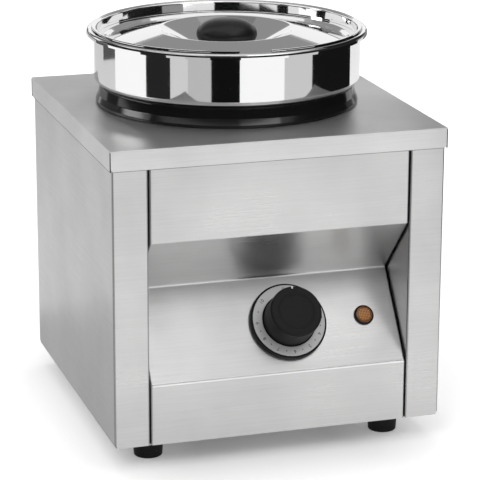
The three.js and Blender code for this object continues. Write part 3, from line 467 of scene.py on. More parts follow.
steel_x = brushed("brushed_steel", (0.68, 0.68, 0.675), alike(0.56), rough=0.30,
                  scale=(16, 16, 1500), anisotropy=0.65, grain=0.06)
steel_top = brushed("brushed_steel_top", (0.81, 0.81, 0.805), alike(0.68), rough=0.36,
                    scale=(16, 1500, 1500), anisotropy=0.6, grain=0.06)
steel_plate = brushed("steel_plate", alike(0.70), alike(0.58), rough=0.42, scale=(40, 900, 40))
mirror = polished("polished_steel", alike(0.86), rough=0.045, wave=0.02)

zinc = plain("zinc_plate", (0.55, 0.56, 0.57), (0.68, 0.69, 0.70), rough=0.36, scale=900,
             bump=0.08, distance=0.00005, metallic=1.0)
alloy = plain("milled_alloy", (0.68, 0.69, 0.70), (0.76, 0.77, 0.78), rough=0.34, scale=500,
              distance=0.00005, metallic=1.0)
copper = plain("copper", (0.62, 0.33, 0.20), (0.72, 0.42, 0.27), rough=0.32, scale=700,
               distance=0.00005, metallic=1.0)
silver = plain("dial_silver", alike(0.47), alike(0.53), rough=0.42, scale=1200,
               bump=0.02, distance=0.00002, metallic=0.55, spread=0.03)

ceramic = plain("fired_ceramic", (0.74, 0.70, 0.60), (0.82, 0.78, 0.69), rough=0.55, scale=1400, bump=0.2)
rubber = plain("black_rubber", alike(0.006), alike(0.010), rough=0.62, scale=1600, bump=0.3, specular=0.2)
black_plastic = plain("black_plastic", (0.007, 0.007, 0.0075), (0.011, 0.011, 0.012), rough=0.45, scale=2600,
                      bump=0.15, specular=0.16)
moulded = plain("moulded_ring", alike(0.006), alike(0.009), rough=0.11, scale=700,
                bump=0.03, distance=0.00004, spread=0.03)
phenolic = plain("black_phenolic", alike(0.007), alike(0.012), rough=0.34, scale=1300,
                 bump=0.06, distance=0.00008, specular=0.3)
# Black ink for the dial's print, used also for strips of painted shade on the cover.
ink_and_painted_shade = plain("dial_ink_and_painted_shade", alike(0.018), alike(0.03), rough=0.55, scale=2000, bump=0.05)
white_paint = plain("white_paint", (0.78, 0.78, 0.76), (0.86, 0.86, 0.84), rough=0.5, scale=1500, bump=0.05)
brown_wire = plain("brown_insulation", (0.13, 0.055, 0.03), (0.18, 0.08, 0.045))
blue_wire = plain("blue_insulation", (0.02, 0.07, 0.26), (0.03, 0.10, 0.34))
green_wire = plain("green_insulation", (0.10, 0.26, 0.04), (0.15, 0.34, 0.06))
amber = tinted("amber_lens", (0.55, 0.20, 0.012), (0.78, 0.34, 0.04))
# The same amber, darker, for the lens cap: painted shade round and between the prisms.
amber_painted_shade = tinted("amber_base_painted_shade", (0.12, 0.038, 0.006), (0.23, 0.076, 0.010))


# Nodes of the frame that keep their own mesh

def dress(material, *names):
    """Gives nodes of the frame their look."""
    for name in names:
        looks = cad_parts[name].data.materials
        looks.clear()
        looks.append(material)


dress(steel_x, "left_side_panel", "right_side_panel")
dress(steel_top, "top_cover")
dress(steel_plate, "back_panel", "base_plate", "bulb_clip")
dress(zinc, "heating_element", "heater_clamp", "heater_nut", "control_shaft", "lid_knob_screw",
      "thermostat_screw_1", "thermostat_screw_2")
dress(alloy, "heat_spreader")
dress(copper, "thermostat_bulb", "earth_stud")
dress(ceramic, "thermostat", "element_terminal_1", "element_terminal_2", "thermal_cutout", "terminal_block")
dress(black_plastic, "gland_nut")
dress(white_paint, "lamp_body")
dress(brown_wire, "wire_block_to_thermostat", "wire_thermostat_to_cutout", "wire_cutout_to_element")
dress(blue_wire, "wire_block_to_element")
dress(green_wire, "wire_earth")


# Casing: rolled edges on the sheets of the frame

SHEET_SMOOTH = 38  # degrees: its bends are smooth and its cut edges sharp
SHEET_EDGE = 0.35  # how far a cut edge is broken
EDGE_ANGLE = 20  # degrees: only sharper edges are broken
WELD = 0.00001


def smooth_bends_tree():
    """Geometry nodes that make a mesh smooth, apart from its sharp edges."""
    tree = bpy.data.node_groups.new("smooth_bends", "GeometryNodeTree")
    for way in ("INPUT", "OUTPUT"):
        tree.interface.new_socket("Geometry", in_out=way, socket_type="NodeSocketGeometry")
    start = node(tree, "NodeGroupInput")
    faces = node(tree, "GeometryNodeSetShadeSmooth", {"Geometry": start.outputs[0], "Shade Smooth": True},
                 domain="FACE")
    bend = node(tree, "GeometryNodeInputMeshEdgeAngle").outputs["Unsigned Angle"]
    small = node(tree, "FunctionNodeCompare", {0: bend, 1: radians(SHEET_SMOOTH)}, operation="LESS_THAN")
    edges = node(tree, "GeometryNodeSetShadeSmooth",
                 {"Geometry": faces.outputs[0], "Shade Smooth": small.outputs[0]}, domain="EDGE")
    node(tree, "NodeGroupOutput", {0: edges.outputs[0]})
    return tree


smooth_bends = smooth_bends_tree()


def soften(name):
    """Breaks the edges of a sheet of the frame and shades it smooth over its bends."""
    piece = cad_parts[name]
    weld = piece.modifiers.new("weld", "WELD")
    weld.merge_threshold = WELD
    bevel = piece.modifiers.new("edge", "BEVEL")
    bevel.width = SHEET_EDGE * MM
    bevel.segments = 3
    bevel.limit_method = "ANGLE"
    bevel.angle_limit = radians(EDGE_ANGLE)
    shade = piece.modifiers.new("shade", "NODES")
    shade.node_group = smooth_bends
    weigh_normals(piece)


for sheet in ("left_side_panel", "right_side_panel", "top_cover"):
    soften(sheet)


# The cover's seams and skirt edge, drawn as dark strips of painted shade

SEAM_HALF = 0.4  # half a seam's width
SEAM_SIDE = 149.8  # from the cover's middle to a corner's seam
SEAM_FOOT, SEAM_TOP = 17.9, 1.2  # below the cover's top
EDGE_SIDE = 149.65  # from the cover's middle to the skirt's cut edge
EDGE_HALF = 147  # half its length
EDGE_FOOT, EDGE_TOP = 18.02, 17.72  # below the cover's top


def seam(x, y, half_x, half_y, foot, top):
    """A strip round a place on the cover, between two depths below its top."""
    y += SHIFT
    return block((x - half_x, y - half_y, COVER_TOP - foot), (x + half_x, y + half_y, COVER_TOP - top))


def cover_seams():
    """Dark strips of painted shade in the open seams at the cover's folded corners, and a painted dark
    reflection along the cut edge at the foot of its skirt.
    """
    seams = [
        seam(x, y, SEAM_HALF, SEAM_HALF, SEAM_FOOT, SEAM_TOP)
        for x in (-SEAM_SIDE, SEAM_SIDE) for y in (-SEAM_SIDE, SEAM_SIDE)
    ]
    for side in (-EDGE_SIDE, EDGE_SIDE):
        seams.append(seam(0, side, EDGE_HALF, SEAM_HALF, EDGE_FOOT, EDGE_TOP))
        seams.append(seam(side, 0, SEAM_HALF, EDGE_HALF, EDGE_FOOT, EDGE_TOP))
    return joined(*seams)


add_piece("cover_seams", cover_seams(), ink_and_painted_shade, smooth=SHEET_SMOOTH)


# The front: one folded sheet, rolled round at its sides

FRONT_HALF = 116.2  # half its width
FRONT_TOP = COVER_TOP - SHEET - SEAT
SIDE_BEND = 1.7
SIDE_RETURN = 8  # how far its sides turn back
FOLD_BEND = 4.5  # at the control panel's lower edge
PANEL_BEND = 2  # at its upper edge and the brow
LIP_HALF = 114  # the turned-in lips along its top and bottom
LIP_START, LIP_END = 0.8, 14  # behind its face
LOW_LIP = 2.6  # the lower lip's top, above the casing's lower edge

front_line = [
    (-HALF_DEPTH, CASING_LOW),
    (-HALF_DEPTH, CASING_LOW + FOLD_HEIGHT, FOLD_BEND),
    (RECESS_DEPTH - HALF_DEPTH, CASING_LOW + RECESS_HEIGHT, PANEL_BEND),
    (-HALF_DEPTH, CASING_LOW + BROW_HEIGHT, PANEL_BEND),
    (-HALF_DEPTH, FRONT_TOP),
]


def stations_across(radius, inset):
    """Places (across, depth) along one face of the front, from right to left."""
    hub = FRONT_HALF - SIDE_BEND
    right = [(FRONT_HALF - inset, SIDE_RETURN)]
    for turn in [radians(15 * step) for step in range(7)]:
        right.append((hub + radius * cos(turn), SIDE_BEND - radius * sin(turn)))
    return right + [(-across, depth) for across, depth in reversed(right)]


def front_sheet():
    """The front's folds at each station across, and its two lips."""
    stations = stations_across(SIDE_BEND, 0) + stations_across(SIDE_BEND - SHEET, SHEET)[::-1]
    shape = bmesh.new()
    rows = []
    for across, depth in stations:
        line = rounded(beside(front_line, -max(depth, MERGE)))
        rows.append([shape.verts.new((across, back + SHIFT, height)) for back, height in line])
    for row, following in zip(rows, rows[1:] + rows[:1]):
        for i in range(len(row) - 1):
            shape.faces.new((row[i], following[i], following[i + 1], row[i + 1]))
    bmesh.ops.holes_fill(shape, edges=[edge for edge in shape.edges if edge.is_boundary])
    face = SHIFT - HALF_DEPTH
    lips = [
        block((-LIP_HALF, face + LIP_START, top - SHEET), (LIP_HALF, face + LIP_END, top))
        for top in (FRONT_TOP, CASING_LOW + LOW_LIP)
    ]
    return joined(shape, *lips)


add_piece("front_sheet", front_sheet(), steel_x, smooth=SHEET_SMOOTH,
          replaces="front_panel")


# Pot, well and the black ring between them

ROUND_STEPS = 220  # round the pot and all that follows it
SHOULDER_DROP = 48.2  # from the rim down to the band's underside
RING_TOP = RIM - SHOULDER_DROP - SEAT
POT_R, BAND_R, RIM_R = 105.0, 120.0, 126.0
FOOT_BEND, NECK_BEND, SHOULDER_BEND = 16, 2.5, 5.5
RIM_IN_BEND, RIM_OUT_BEND, RIM_LIP = 3.2, 2.2, 5

pot_outline = sheet_outline([
    (0, POT_BOTTOM), (POT_R, POT_BOTTOM, FOOT_BEND), (POT_R, RING_TOP + SEAT, NECK_BEND),
    (BAND_R, RING_TOP + SEAT, SHOULDER_BEND), (BAND_R, RIM - SHEET, RIM_IN_BEND),
    (RIM_R - SHEET, RIM - SHEET, RIM_OUT_BEND), (RIM_R - SHEET, RIM - RIM_LIP),
])
add_piece("pot_body", turned(pot_outline, ROUND_STEPS), mirror, PAN, body="pot",
          replaces="pot", flat=False)

WELL_R, WELL_FLANGE_R = 109.0, 113.5
WELL_BOTTOM = POT_BOTTOM - 27
WELL_HANG = COVER_TOP + SEAT
WELL_BEND, WELL_FLANGE_BEND = 14, 0.6
STUD_R, STUD_TIP, STUD_TIP_LENGTH = 3, 0.4, 0.6
STUD_END, STUD_ROOT = WELL_BOTTOM - 22, WELL_BOTTOM + 0.4

well_outline = sheet_outline([
    (0, WELL_BOTTOM), (WELL_R, WELL_BOTTOM, WELL_BEND), (WELL_R, WELL_HANG, WELL_FLANGE_BEND),
    (WELL_FLANGE_R, WELL_HANG),
])
stud_outline = [
    (0, STUD_END), (STUD_R - STUD_TIP, STUD_END), (STUD_R, STUD_END + STUD_TIP_LENGTH),
    (STUD_R, STUD_ROOT), (0, STUD_ROOT),
]
add_piece("well_with_stud", joined(turned(well_outline, ROUND_STEPS), turned(stud_outline, 32)), mirror, PAN,
          replaces="water_well")

RING_WALL = 2.4
RING_FOOT = WELL_HANG + SHEET + SEAT
RING_TOP_R, RING_FACE_R, RING_FOOT_R = 114.3, 116.15, 118.4  # its outside, from the top down
RING_FACE_HEIGHT, RING_FOOT_HEIGHT = 7.8, 2.6
RING_HOLLOW_R, RING_HOLLOW_FOOT_R = 113.8, 115  # its inside, round the well's flange

ring_outline = closed_outline([
    (WELL_R, RING_FOOT), (WELL_R + RING_WALL, RING_FOOT), (WELL_R + RING_WALL, RING_TOP - RING_WALL),
    (RING_HOLLOW_R, RING_TOP - RING_WALL), (RING_HOLLOW_FOOT_R, WELL_HANG), (RING_FOOT_R, WELL_HANG, 0.6),
    (RING_FOOT_R, WELL_HANG + RING_FOOT_HEIGHT, 0.8), (RING_FACE_R, WELL_HANG + RING_FACE_HEIGHT, 3),
    (RING_TOP_R, RING_TOP, 3), (WELL_R, RING_TOP, 1),
], 9)
add_piece("pot_seat_ring", turned(ring_outline, ROUND_STEPS), moulded, PAN,
          replaces="seal_ring")


# Lid

OVERRUN = 5  # how far a cutter goes past what it cuts
LID_GAP = 0.9  # between the lid's wall and the pot's
LID_WALL = BAND_R - SHEET - LID_GAP
FLANGE = RIM + SEAT
LEDGE = FLANGE - 10.2
LEDGE_IN = LID_WALL - 6.5
LEDGE_STEP = 3  # inwards and down to the cone
CONE = LEDGE - LEDGE_STEP
DISH_RIM = CONE + 10.3
DISH_FLOOR = DISH_RIM - 18.5
DISH_FLOOR_R, DISH_RIM_R = 25, 61
DISH_BEND, LEDGE_BEND = 5, 1.3
FLANGE_R = 119.9
LID_HOLE_R = 2.3
NOTCH_HALF = 14  # half the width of the notch for a ladle
NOTCH_TURN = -95  # degrees

# The rolled hem round the flange: its radii, its height and its corners
HEM_IN_R, HEM_R, HEM_HEIGHT = 119.2, 121.2, 1.5
HEM_CORNER, HEM_IN_CORNER = 0.2, 0.65
HEM_SHOULDER, HEM_IN_SHOULDER = 1.2, 1.0

lid_outline = sheet_outline([
    (0, DISH_FLOOR), (DISH_FLOOR_R, DISH_FLOOR, DISH_BEND), (DISH_RIM_R, DISH_RIM, DISH_BEND),
    (LEDGE_IN - LEDGE_STEP, CONE, LEDGE_BEND), (LEDGE_IN, LEDGE, LEDGE_BEND), (LID_WALL, LEDGE, LEDGE_BEND),
    (LID_WALL, FLANGE, LEDGE_BEND), (FLANGE_R, FLANGE),
], 7)
hem_outline = [
    (HEM_IN_R + HEM_IN_CORNER, FLANGE), (HEM_R - HEM_CORNER, FLANGE), (HEM_R, FLANGE + HEM_CORNER),
    (HEM_R, FLANGE + HEM_SHOULDER), (HEM_R - HEM_CORNER, FLANGE + HEM_HEIGHT),
    (HEM_IN_R + HEM_IN_CORNER, FLANGE + HEM_HEIGHT), (HEM_IN_R + HEM_CORNER, FLANGE + HEM_SHOULDER),
    (HEM_IN_R, FLANGE + HEM_IN_SHOULDER), (HEM_IN_R, FLANGE),
]


def ladle_notch():
    """What is cut out of the lid's rim for a ladle."""
    shape = block((LEDGE_IN - LEDGE_STEP + LEDGE_BEND, -NOTCH_HALF, CONE - OVERRUN),
                  (RIM_R + 1, NOTCH_HALF, FLANGE + OVERRUN))
    shape.transform(spin(NOTCH_TURN))
    return shape


lid_hole = pin(LID_HOLE_R, DISH_FLOOR - OVERRUN, DISH_FLOOR + OVERRUN)
lid = joined(cut(turned(lid_outline, ROUND_STEPS), ladle_notch(), lid_hole),
             cut(turned(hem_outline, ROUND_STEPS), ladle_notch()))
add_piece("lid_pan", lid, mirror, PAN, body="lid", replaces="lid_shell")

KNOB = Matrix.Translation((0, PAN_Y, DISH_FLOOR + SHEET + SEAT))  # at the knob's foot
KNOB_HEIGHT = 27
KNOB_BORE_DEPTH = 12.3
KNOB_FOOT_R, KNOB_FOOT_HEIGHT = 15, 2.1
KNOB_FLARE_R, KNOB_FLARE_HEIGHT = 24.6, 5.6
KNOB_EDGE_R, KNOB_EDGE_DROP = 26.9, 2.4  # where the flare meets the dome
KNOB_MID = 12.8  # its widest place
DOME_R = 27.3
DOME_FULLNESS = 0.82  # 1 for an ellipse, less for a fuller dome
DOME_START, DOME_SWEEP, DOME_STEPS = -10, 100, 24  # degrees

knob_side = rounded([
    (0, KNOB_BORE_DEPTH), (LID_HOLE_R, KNOB_BORE_DEPTH), (LID_HOLE_R, 0),
    (KNOB_FOOT_R, 0, 0.8), (KNOB_FOOT_R, KNOB_FOOT_HEIGHT, 2),
    (KNOB_FLARE_R, KNOB_FLARE_HEIGHT, 4), (KNOB_EDGE_R, KNOB_MID - KNOB_EDGE_DROP),
])[:-1]
dome_turns = [radians(DOME_START + DOME_SWEEP * step / DOME_STEPS) for step in range(DOME_STEPS)]
dome = [
    (DOME_R * cos(turn) ** DOME_FULLNESS, KNOB_MID + (KNOB_HEIGHT - KNOB_MID) * sin(turn))
    for turn in dome_turns
]
knob_outline = [*knob_side, *dome, (0, KNOB_HEIGHT)]
add_piece("lid_handle_knob", turned(knob_outline, 96), phenolic, KNOB, body="lid", smooth=50,
          replaces="lid_knob")


# Dial: a black base with a shallow track for a silver ring, above the control panel

DIAL_STEPS = 128
BASE_BORE_R, BASE_R = 19, 34.5
BASE_TOP = SEAT + 4.6
TRACK_IN_R, TRACK_R = 24.0, 32.9
TRACK_IN_DEPTH, TRACK_DEPTH = 0.2, 0.4
TRACK_IN_FLARE, TRACK_FLARE = 0.4, 0.3
BASE_START = 2  # a height on its inner wall

base_outline = closed_outline([
    (BASE_BORE_R, BASE_START), (BASE_BORE_R, SEAT), (BASE_R, SEAT, 0.3), (BASE_R, BASE_TOP, 0.9),
    (TRACK_R + TRACK_FLARE, BASE_TOP, 0.2), (TRACK_R, BASE_TOP - TRACK_DEPTH, 0.1),
    (TRACK_IN_R, BASE_TOP - TRACK_IN_DEPTH, 0.1), (TRACK_IN_R - TRACK_IN_FLARE, BASE_TOP, 0.2),
    (BASE_BORE_R, BASE_TOP, 0.3),
], 5)
add_piece("dial_base", turned(base_outline, DIAL_STEPS), black_plastic, CONTROL,
          replaces="dial_bezel")

TRACK_GAP = 0.2
DIAL_IN_R, DIAL_R = TRACK_IN_R + TRACK_GAP, TRACK_R - TRACK_GAP
DIAL_LOW = BASE_TOP + SEAT
DIAL_TOP = DIAL_LOW + 0.6
DIAL_BEND = 0.25

dial_outline = closed_outline([
    (DIAL_IN_R, DIAL_LOW + 0.2), (DIAL_IN_R, DIAL_LOW), (DIAL_R, DIAL_LOW), (DIAL_R, DIAL_TOP, DIAL_BEND),
    (DIAL_IN_R, DIAL_TOP, DIAL_BEND),
], 4)
add_piece("dial_face", turned(dial_outline, DIAL_STEPS), silver, CONTROL,
          replaces="dial_ring")

# The control knob: a hollow grip round a hub, with a round track and the pointer's groove in its face
GRIP_R, GRIP_FOOT = 23.1, 3
FACE_R, FACE = 23.0, 31.3
HUB_R, HOLLOW_TOP = 7, 26.3
HOLLOW_TOP_R, HOLLOW_R = 20.3, 20.4
FACE_TRACK_OUT, FACE_TRACK_IN = (16.6, 16.3), (14.8, 15.1)  # radii at the face and at the track's floor
FACE_FLOOR, FACE_MIDDLE = FACE - 0.35, FACE - 0.05
SHAFT_R, SHAFT_DEPTH = 3.3, 15.3
GROOVE_HALF, GROOVE_LENGTH, GROOVE_DEPTH = 1.05, 3.5, 1.4
GROOVE_END, GROOVE_TOP = 26, 36  # past the grip's side and face
POINTER_HALF, POINTER_LENGTH, POINTER_DEPTH, POINTER_EDGE = 0.6, 2.2, 1.1, 0.15

grip_outline = rounded([
    (0, DIAL_LOW), (HUB_R, DIAL_LOW), (HUB_R, HOLLOW_TOP), (HOLLOW_TOP_R, HOLLOW_TOP), (HOLLOW_R, DIAL_LOW),
    (GRIP_R, DIAL_LOW, 0.6), (GRIP_R, DIAL_LOW + GRIP_FOOT, 0.5), (FACE_R, FACE, 2.0),
    (FACE_TRACK_OUT[0], FACE, 0.5), (FACE_TRACK_OUT[1], FACE_FLOOR, 0.4),
    (FACE_TRACK_IN[1], FACE_FLOOR, 0.4), (FACE_TRACK_IN[0], FACE_MIDDLE, 0.4), (0, FACE_MIDDLE),
], 6)
groove = block((-GROOVE_HALF, FACE_R - GROOVE_LENGTH, FACE - GROOVE_DEPTH),
               (GROOVE_HALF, GROOVE_END, GROOVE_TOP))
socket = pin(SHAFT_R, 0, DIAL_LOW + SHAFT_DEPTH)
grip = cut(turned(grip_outline, DIAL_STEPS), groove, socket)
add_piece("knob_body", grip, black_plastic, CONTROL, body="knob", smooth=35,
          replaces="control_knob")

pointer = block((-POINTER_HALF, FACE_R - POINTER_LENGTH, FACE - POINTER_DEPTH), (POINTER_HALF, FACE_R, FACE))
bmesh.ops.bevel(pointer, geom=pointer.edges[:], offset=POINTER_EDGE, segments=2, affect="EDGES")
add_piece("pointer_mark", pointer, white_paint, CONTROL, body="knob", smooth=35,
          replaces="knob_pointer")

# The dial's numbers, clockwise from 0 at the top, and a dot halfway between each two
NUMBER_ANGLES = [*range(0, 300, 30), 312]  # degrees
NUMBER_R, NUMBER_HEIGHT, NUMBER_DEPTH = 28.9, 3.3, 0.02
CAPITAL_SHARE = 0.72  # of the font's size
DOT_PLACE_R, DOT_R, DOT_HEIGHT = 28.4, 0.55, 0.05
NUMBER_LIFT, DOT_LIFT = 0.03, 0.01  # above the silver ring


def on_dial(shape, angle, radius, lift):
    """Puts a mark on the silver ring, its top towards the rim."""
    shape.transform(spin(-angle) @ Matrix.Translation((0, radius, DIAL_TOP + lift)))
    return shape


def figures(number):
    """A number as a thin solid."""
    curve = bpy.data.curves.new("number", "FONT")
    curve.body = str(number)
    curve.size = NUMBER_HEIGHT / CAPITAL_SHARE
    curve.align_x = "CENTER"
    curve.align_y = "CENTER"
    curve.extrude = NUMBER_DEPTH
    text = add_object("number", curve)
    shape = shape_of(text)
    bpy.data.objects.remove(text)
    return shape


marks = []
for number, angle in enumerate(NUMBER_ANGLES):
    marks.append(on_dial(figures(number), angle, NUMBER_R, NUMBER_LIFT))
for angle, following in zip(NUMBER_ANGLES, NUMBER_ANGLES[1:]):
    marks.append(on_dial(pin(DOT_R, 0, DOT_HEIGHT, 16), (angle + following) / 2, DOT_PLACE_R, DOT_LIFT))
add_piece("dial_numbers", joined(*marks), ink_and_painted_shade, CONTROL)


# Lamp: a black surround with an amber lens full of small prisms, its cap a darker amber as painted shade

LAMP_STEPS = 64
BEZEL_IN_R, BEZEL_R = 5.3, 8.95
LIP_R, LIP_IN_R, LIP_FOOT_R = 8.3, 7.7, 6.9  # the surround's raised lip
BEZEL_TOP, BEZEL_SIDE, BEZEL_FLOOR = 2.2, 1.5, 1.3
BEZEL_START = SEAT + 0.3  # a height on its inner wall

surround_outline = closed_outline([
    (BEZEL_IN_R, BEZEL_START), (BEZEL_IN_R, SEAT), (BEZEL_R, SEAT, 0.2),
    (BEZEL_R, BEZEL_SIDE, 0.7), (LIP_R, BEZEL_TOP, 0.3), (LIP_IN_R, BEZEL_TOP, 0.2),
    (LIP_FOOT_R, BEZEL_FLOOR), (BEZEL_IN_R, BEZEL_FLOOR),
], 5)
add_piece("lamp_surround", turned(surround_outline, LAMP_STEPS), black_plastic, LAMP,
          replaces="lamp_bezel")

LENS_R, LENS_SHOULDER_R, LENS_CROWN_R = 7.4, 6.9, 5.0  # its cap's steps, and their heights
LENS_LOW, LENS_SIDE, LENS_SHOULDER, LENS_CROWN, LENS_TOP = 1.6, 2.3, 2.6, 2.9, 3.0

lens_outline = [
    (0, LENS_LOW), (LENS_R, LENS_LOW), (LENS_R, LENS_SIDE), (LENS_SHOULDER_R, LENS_SHOULDER),
    (LENS_CROWN_R, LENS_CROWN), (0, LENS_TOP),
]

PRISM_PITCH, PRISMS_EACH_WAY = 1.5, 4
PRISM_HALF = 0.4
PRISM_FOOT_R, PRISM_TOP_R, PRISM_HEIGHT = 0.82, 0.5, 0.6
PRISMS_R = 6.4  # no prism reaches further out
PRISM_LEVEL, PRISM_CROWN = 3.2, 0.012  # their height in the middle, and its drop outwards


def prisms():
    """A waffle of small square prisms."""
    shape = bmesh.new()
    counts = range(-PRISMS_EACH_WAY, PRISMS_EACH_WAY + 1)
    for x, y in [(i * PRISM_PITCH, j * PRISM_PITCH) for i in counts for j in counts]:
        if hypot(abs(x) + PRISM_HALF, abs(y) + PRISM_HALF) > PRISMS_R:
            continue
        prism = bmesh.ops.create_cone(shape, segments=4, cap_ends=True, radius1=PRISM_FOOT_R,
                                      radius2=PRISM_TOP_R, depth=PRISM_HEIGHT)
        place = Matrix.Translation((x, y, PRISM_LEVEL - PRISM_CROWN * (x * x + y * y)))
        bmesh.ops.transform(shape, verts=prism["verts"], matrix=place @ spin(45))
    return shape


# The cap's darker amber is painted shade round and between the prisms.
add_piece("lamp_lens_cap", turned(lens_outline, LAMP_STEPS), amber_painted_shade, LAMP, smooth=30,
          replaces="lamp_lens")
add_piece("lamp_lens_prisms", prisms(), amber, LAMP, smooth=30)


# Feet

FOOT_STEPS = 72
FOOT_LOW_R, FOOT_TOP_R = 12.5, 14
FOOT_TOP = CASING_LOW - SEAT
FOOT_HOLLOW_R, FOOT_HOLLOW = 6, 10  # the hollow under it, for its screw
FOOT_BORE_R = 2.3
FOOT_START = 3  # a height on its inner wall

foot_outline = closed_outline([
    (FOOT_HOLLOW_R, FOOT_START), (FOOT_HOLLOW_R, 0, 0.5), (FOOT_LOW_R, 0, 1.4), (FOOT_TOP_R, FOOT_TOP, 0.6),
    (FOOT_BORE_R, FOOT_TOP), (FOOT_BORE_R, FOOT_HOLLOW), (FOOT_HOLLOW_R, FOOT_HOLLOW, 0.3),
])
for corner in ("front_left", "front_right", "back_left", "back_right"):
    centre = centre_of("foot_" + corner)
    add_piece("rubber_foot_" + corner, turned(foot_outline, FOOT_STEPS), rubber,
              Matrix.Translation((centre[X], centre[Y], 0)), replaces="foot_" + corner)


# Screws

SHEET_SCREW = {"radius": 1.6, "head": 3.2, "height": 2.2, "length": 7}
FOOT_SCREW = {"radius": 2.0, "head": 4.0, "height": 2.6, "length": 18.3}
SCREW_STEPS = 40
TIP_SHARE = 0.55  # of the shank's radius
TIP_LENGTH, NECK_LENGTH = 1.2, 0.6
CROSS_DEPTH, CROSS_HALF, CROSS_SHARE = 1.1, 0.4, 0.5  # in the head
CROSS_OVERRUN = 2


def screw(radius, head, height, length):
    """A screw along Z, with the underside of its head at 0."""
    outline = rounded([
        (0, -length), (radius * TIP_SHARE, -length), (radius, -length + TIP_LENGTH), (radius, -NECK_LENGTH),
        (radius, 0), (head, 0, 0.15), (head, height * 0.45, 0.4), (head * 0.72, height * 0.95, 0.6),
        (head * 0.3, height), (0, height),
    ], 4)
    floor = height - CROSS_DEPTH
    top = height + CROSS_OVERRUN
    reach = head * CROSS_SHARE
    along = block((-reach, -CROSS_HALF, floor), (reach, CROSS_HALF, top))
    across = block((-CROSS_HALF, -reach, floor), (CROSS_HALF, reach, top))
    return cut(turned(outline, SCREW_STEPS), along, across)


def place_screw(kind, count, turn, axis, end, sizes):
    """A screw instead of a node, its head at the node's low (-1) or high (1) end along an axis."""
    name = f"{kind}_screw_{count}"
    low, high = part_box(name)
    centre = Vector(centre_of(name))
    outermost = (low if end < 0 else high)[axis] / MM
    centre[axis] = outermost - end * sizes["height"]
    add_piece(f"pan_screw_{kind}_{count}", screw(**sizes), zinc, Matrix.Translation(centre) @ turn,
              replaces=name)


for count in range(1, 7):
    place_screw("base", count, FACING_DOWN, Z, -1, SHEET_SCREW)
for count in range(1, 5):
    place_screw("back", count, FACING_BACK, Y, 1, SHEET_SCREW)
    place_screw("foot", count, FACING_DOWN, Z, -1, FOOT_SCREW)


# Cable gland, along its own axis through the back

GLAND_SIDE, GLAND_HEIGHT = 92, 38  # right of the middle, and above the casing's lower edge
GLAND = Matrix.Translation((GLAND_SIDE, SHIFT + HALF_DEPTH, CASING_LOW + GLAND_HEIGHT)) @ FACING_BACK
GLAND_BORE_R, GLAND_R, GLAND_END = 5, 7.8, -9
GLAND_CHAMFER = 0.4
FLATS_LOW, FLATS_TOP, FLATS_R = 0.3, 4.3, 11.0  # its hexagon
GLAND_CAP = GLAND @ Matrix.Translation((0, 0, FLATS_TOP + SEAT))
CAP_BORE_R, CAP_R, CAP_NOSE_R, CAP_END_R = 3.9, 9.6, 7.2, 5.6
CAP_SHOULDER, CAP_NOSE, CAP_HEIGHT = 6.6, 10.2, 11  # above its lower end
RIBS = 18
RIB_IN_R, RIB_HALF = 9.2, 0.45
RIB_START, RIB_END = 0.6, 5.6
GLAND_OVERRUN = 20


def gland_body():
    """The gland's tube through the back panel, with its hexagon."""
    outline = closed_outline([
        (GLAND_BORE_R, 0), (GLAND_BORE_R, GLAND_END), (GLAND_R - GLAND_CHAMFER, GLAND_END),
        (GLAND_R, GLAND_END + GLAND_CHAMFER), (GLAND_R, 1), (GLAND_R, FLATS_TOP), (GLAND_BORE_R, FLATS_TOP),
    ])
    inner = FLATS_R - GLAND_CHAMFER
    flats = [
        (0, FLATS_LOW), (inner, FLATS_LOW), (FLATS_R, FLATS_LOW + GLAND_CHAMFER),
        (FLATS_R, FLATS_TOP - GLAND_CHAMFER), (inner, FLATS_TOP), (0, FLATS_TOP),
    ]
    bore = pin(GLAND_BORE_R, -GLAND_OVERRUN, GLAND_OVERRUN, 48)
    return joined(turned(outline, 64), cut(turned(flats, 6), bore))


def gland_cap():
    """The gland's domed cap, with ribs to grip it by."""
    outline = closed_outline([
        (CAP_BORE_R, 1), (CAP_BORE_R, 0), (CAP_R, 0, 0.4),
        (CAP_R, CAP_SHOULDER, 2.2), (CAP_NOSE_R, CAP_NOSE, 1.2),
        (CAP_END_R, CAP_HEIGHT, 0.6), (CAP_BORE_R, CAP_HEIGHT, 0.5),
    ])
    ribs = []
    for count in range(RIBS):
        rib = block((RIB_IN_R, -RIB_HALF, RIB_START), (CAP_R, RIB_HALF, RIB_END))
        rib.transform(spin(360 * count / RIBS))
        ribs.append(rib)
    return joined(turned(outline, 72), *ribs)


add_piece("gland_body_piece", gland_body(), black_plastic, GLAND, smooth=35,
          replaces="cable_gland")
add_piece("gland_cap_piece", gland_cap(), black_plastic, GLAND_CAP, smooth=35,
          replaces="gland_cap")


# Camera, as solved from the casing's corners: angles in degrees, distances in millimetres

PHOTO_WIDTH, FOCAL = 480, 2325.51  # pixels
AZIMUTH, ELEVATION, ROLL = -17.3244, 16.3689, 0.1801
AIM_SIDE, AIM_HEIGHT, DISTANCE = 9.4788, 154.1166, 2137.46
SENSOR = 36
FARTHEST = 50  # metres

side, rise = radians(AZIMUTH), radians(ELEVATION)
TO_CAMERA = Vector((sin(side) * cos(rise), -cos(side) * cos(rise), sin(rise)))


def add_camera():
    """The camera that looks along the axis found above."""
    data = bpy.data.cameras.new("camera")
    data.sensor_width = SENSOR
    data.lens = SENSOR * FOCAL / PHOTO_WIDTH
    data.clip_end = FARTHEST
    camera = add_object("camera", data)
    camera.location = (Vector((AIM_SIDE, SHIFT, AIM_HEIGHT)) + TO_CAMERA * DISTANCE) * MM
    look = (-TO_CAMERA).to_track_quat("-Z", "Y")
    camera.rotation_mode = "QUATERNION"
    camera.rotation_quaternion = look @ Matrix.Rotation(radians(ROLL), 3, "Z").to_quaternion()
    bpy.context.scene.camera = camera


add_camera()


# Studio, in metres: a pale floor that glows a little, a white world and three lamps

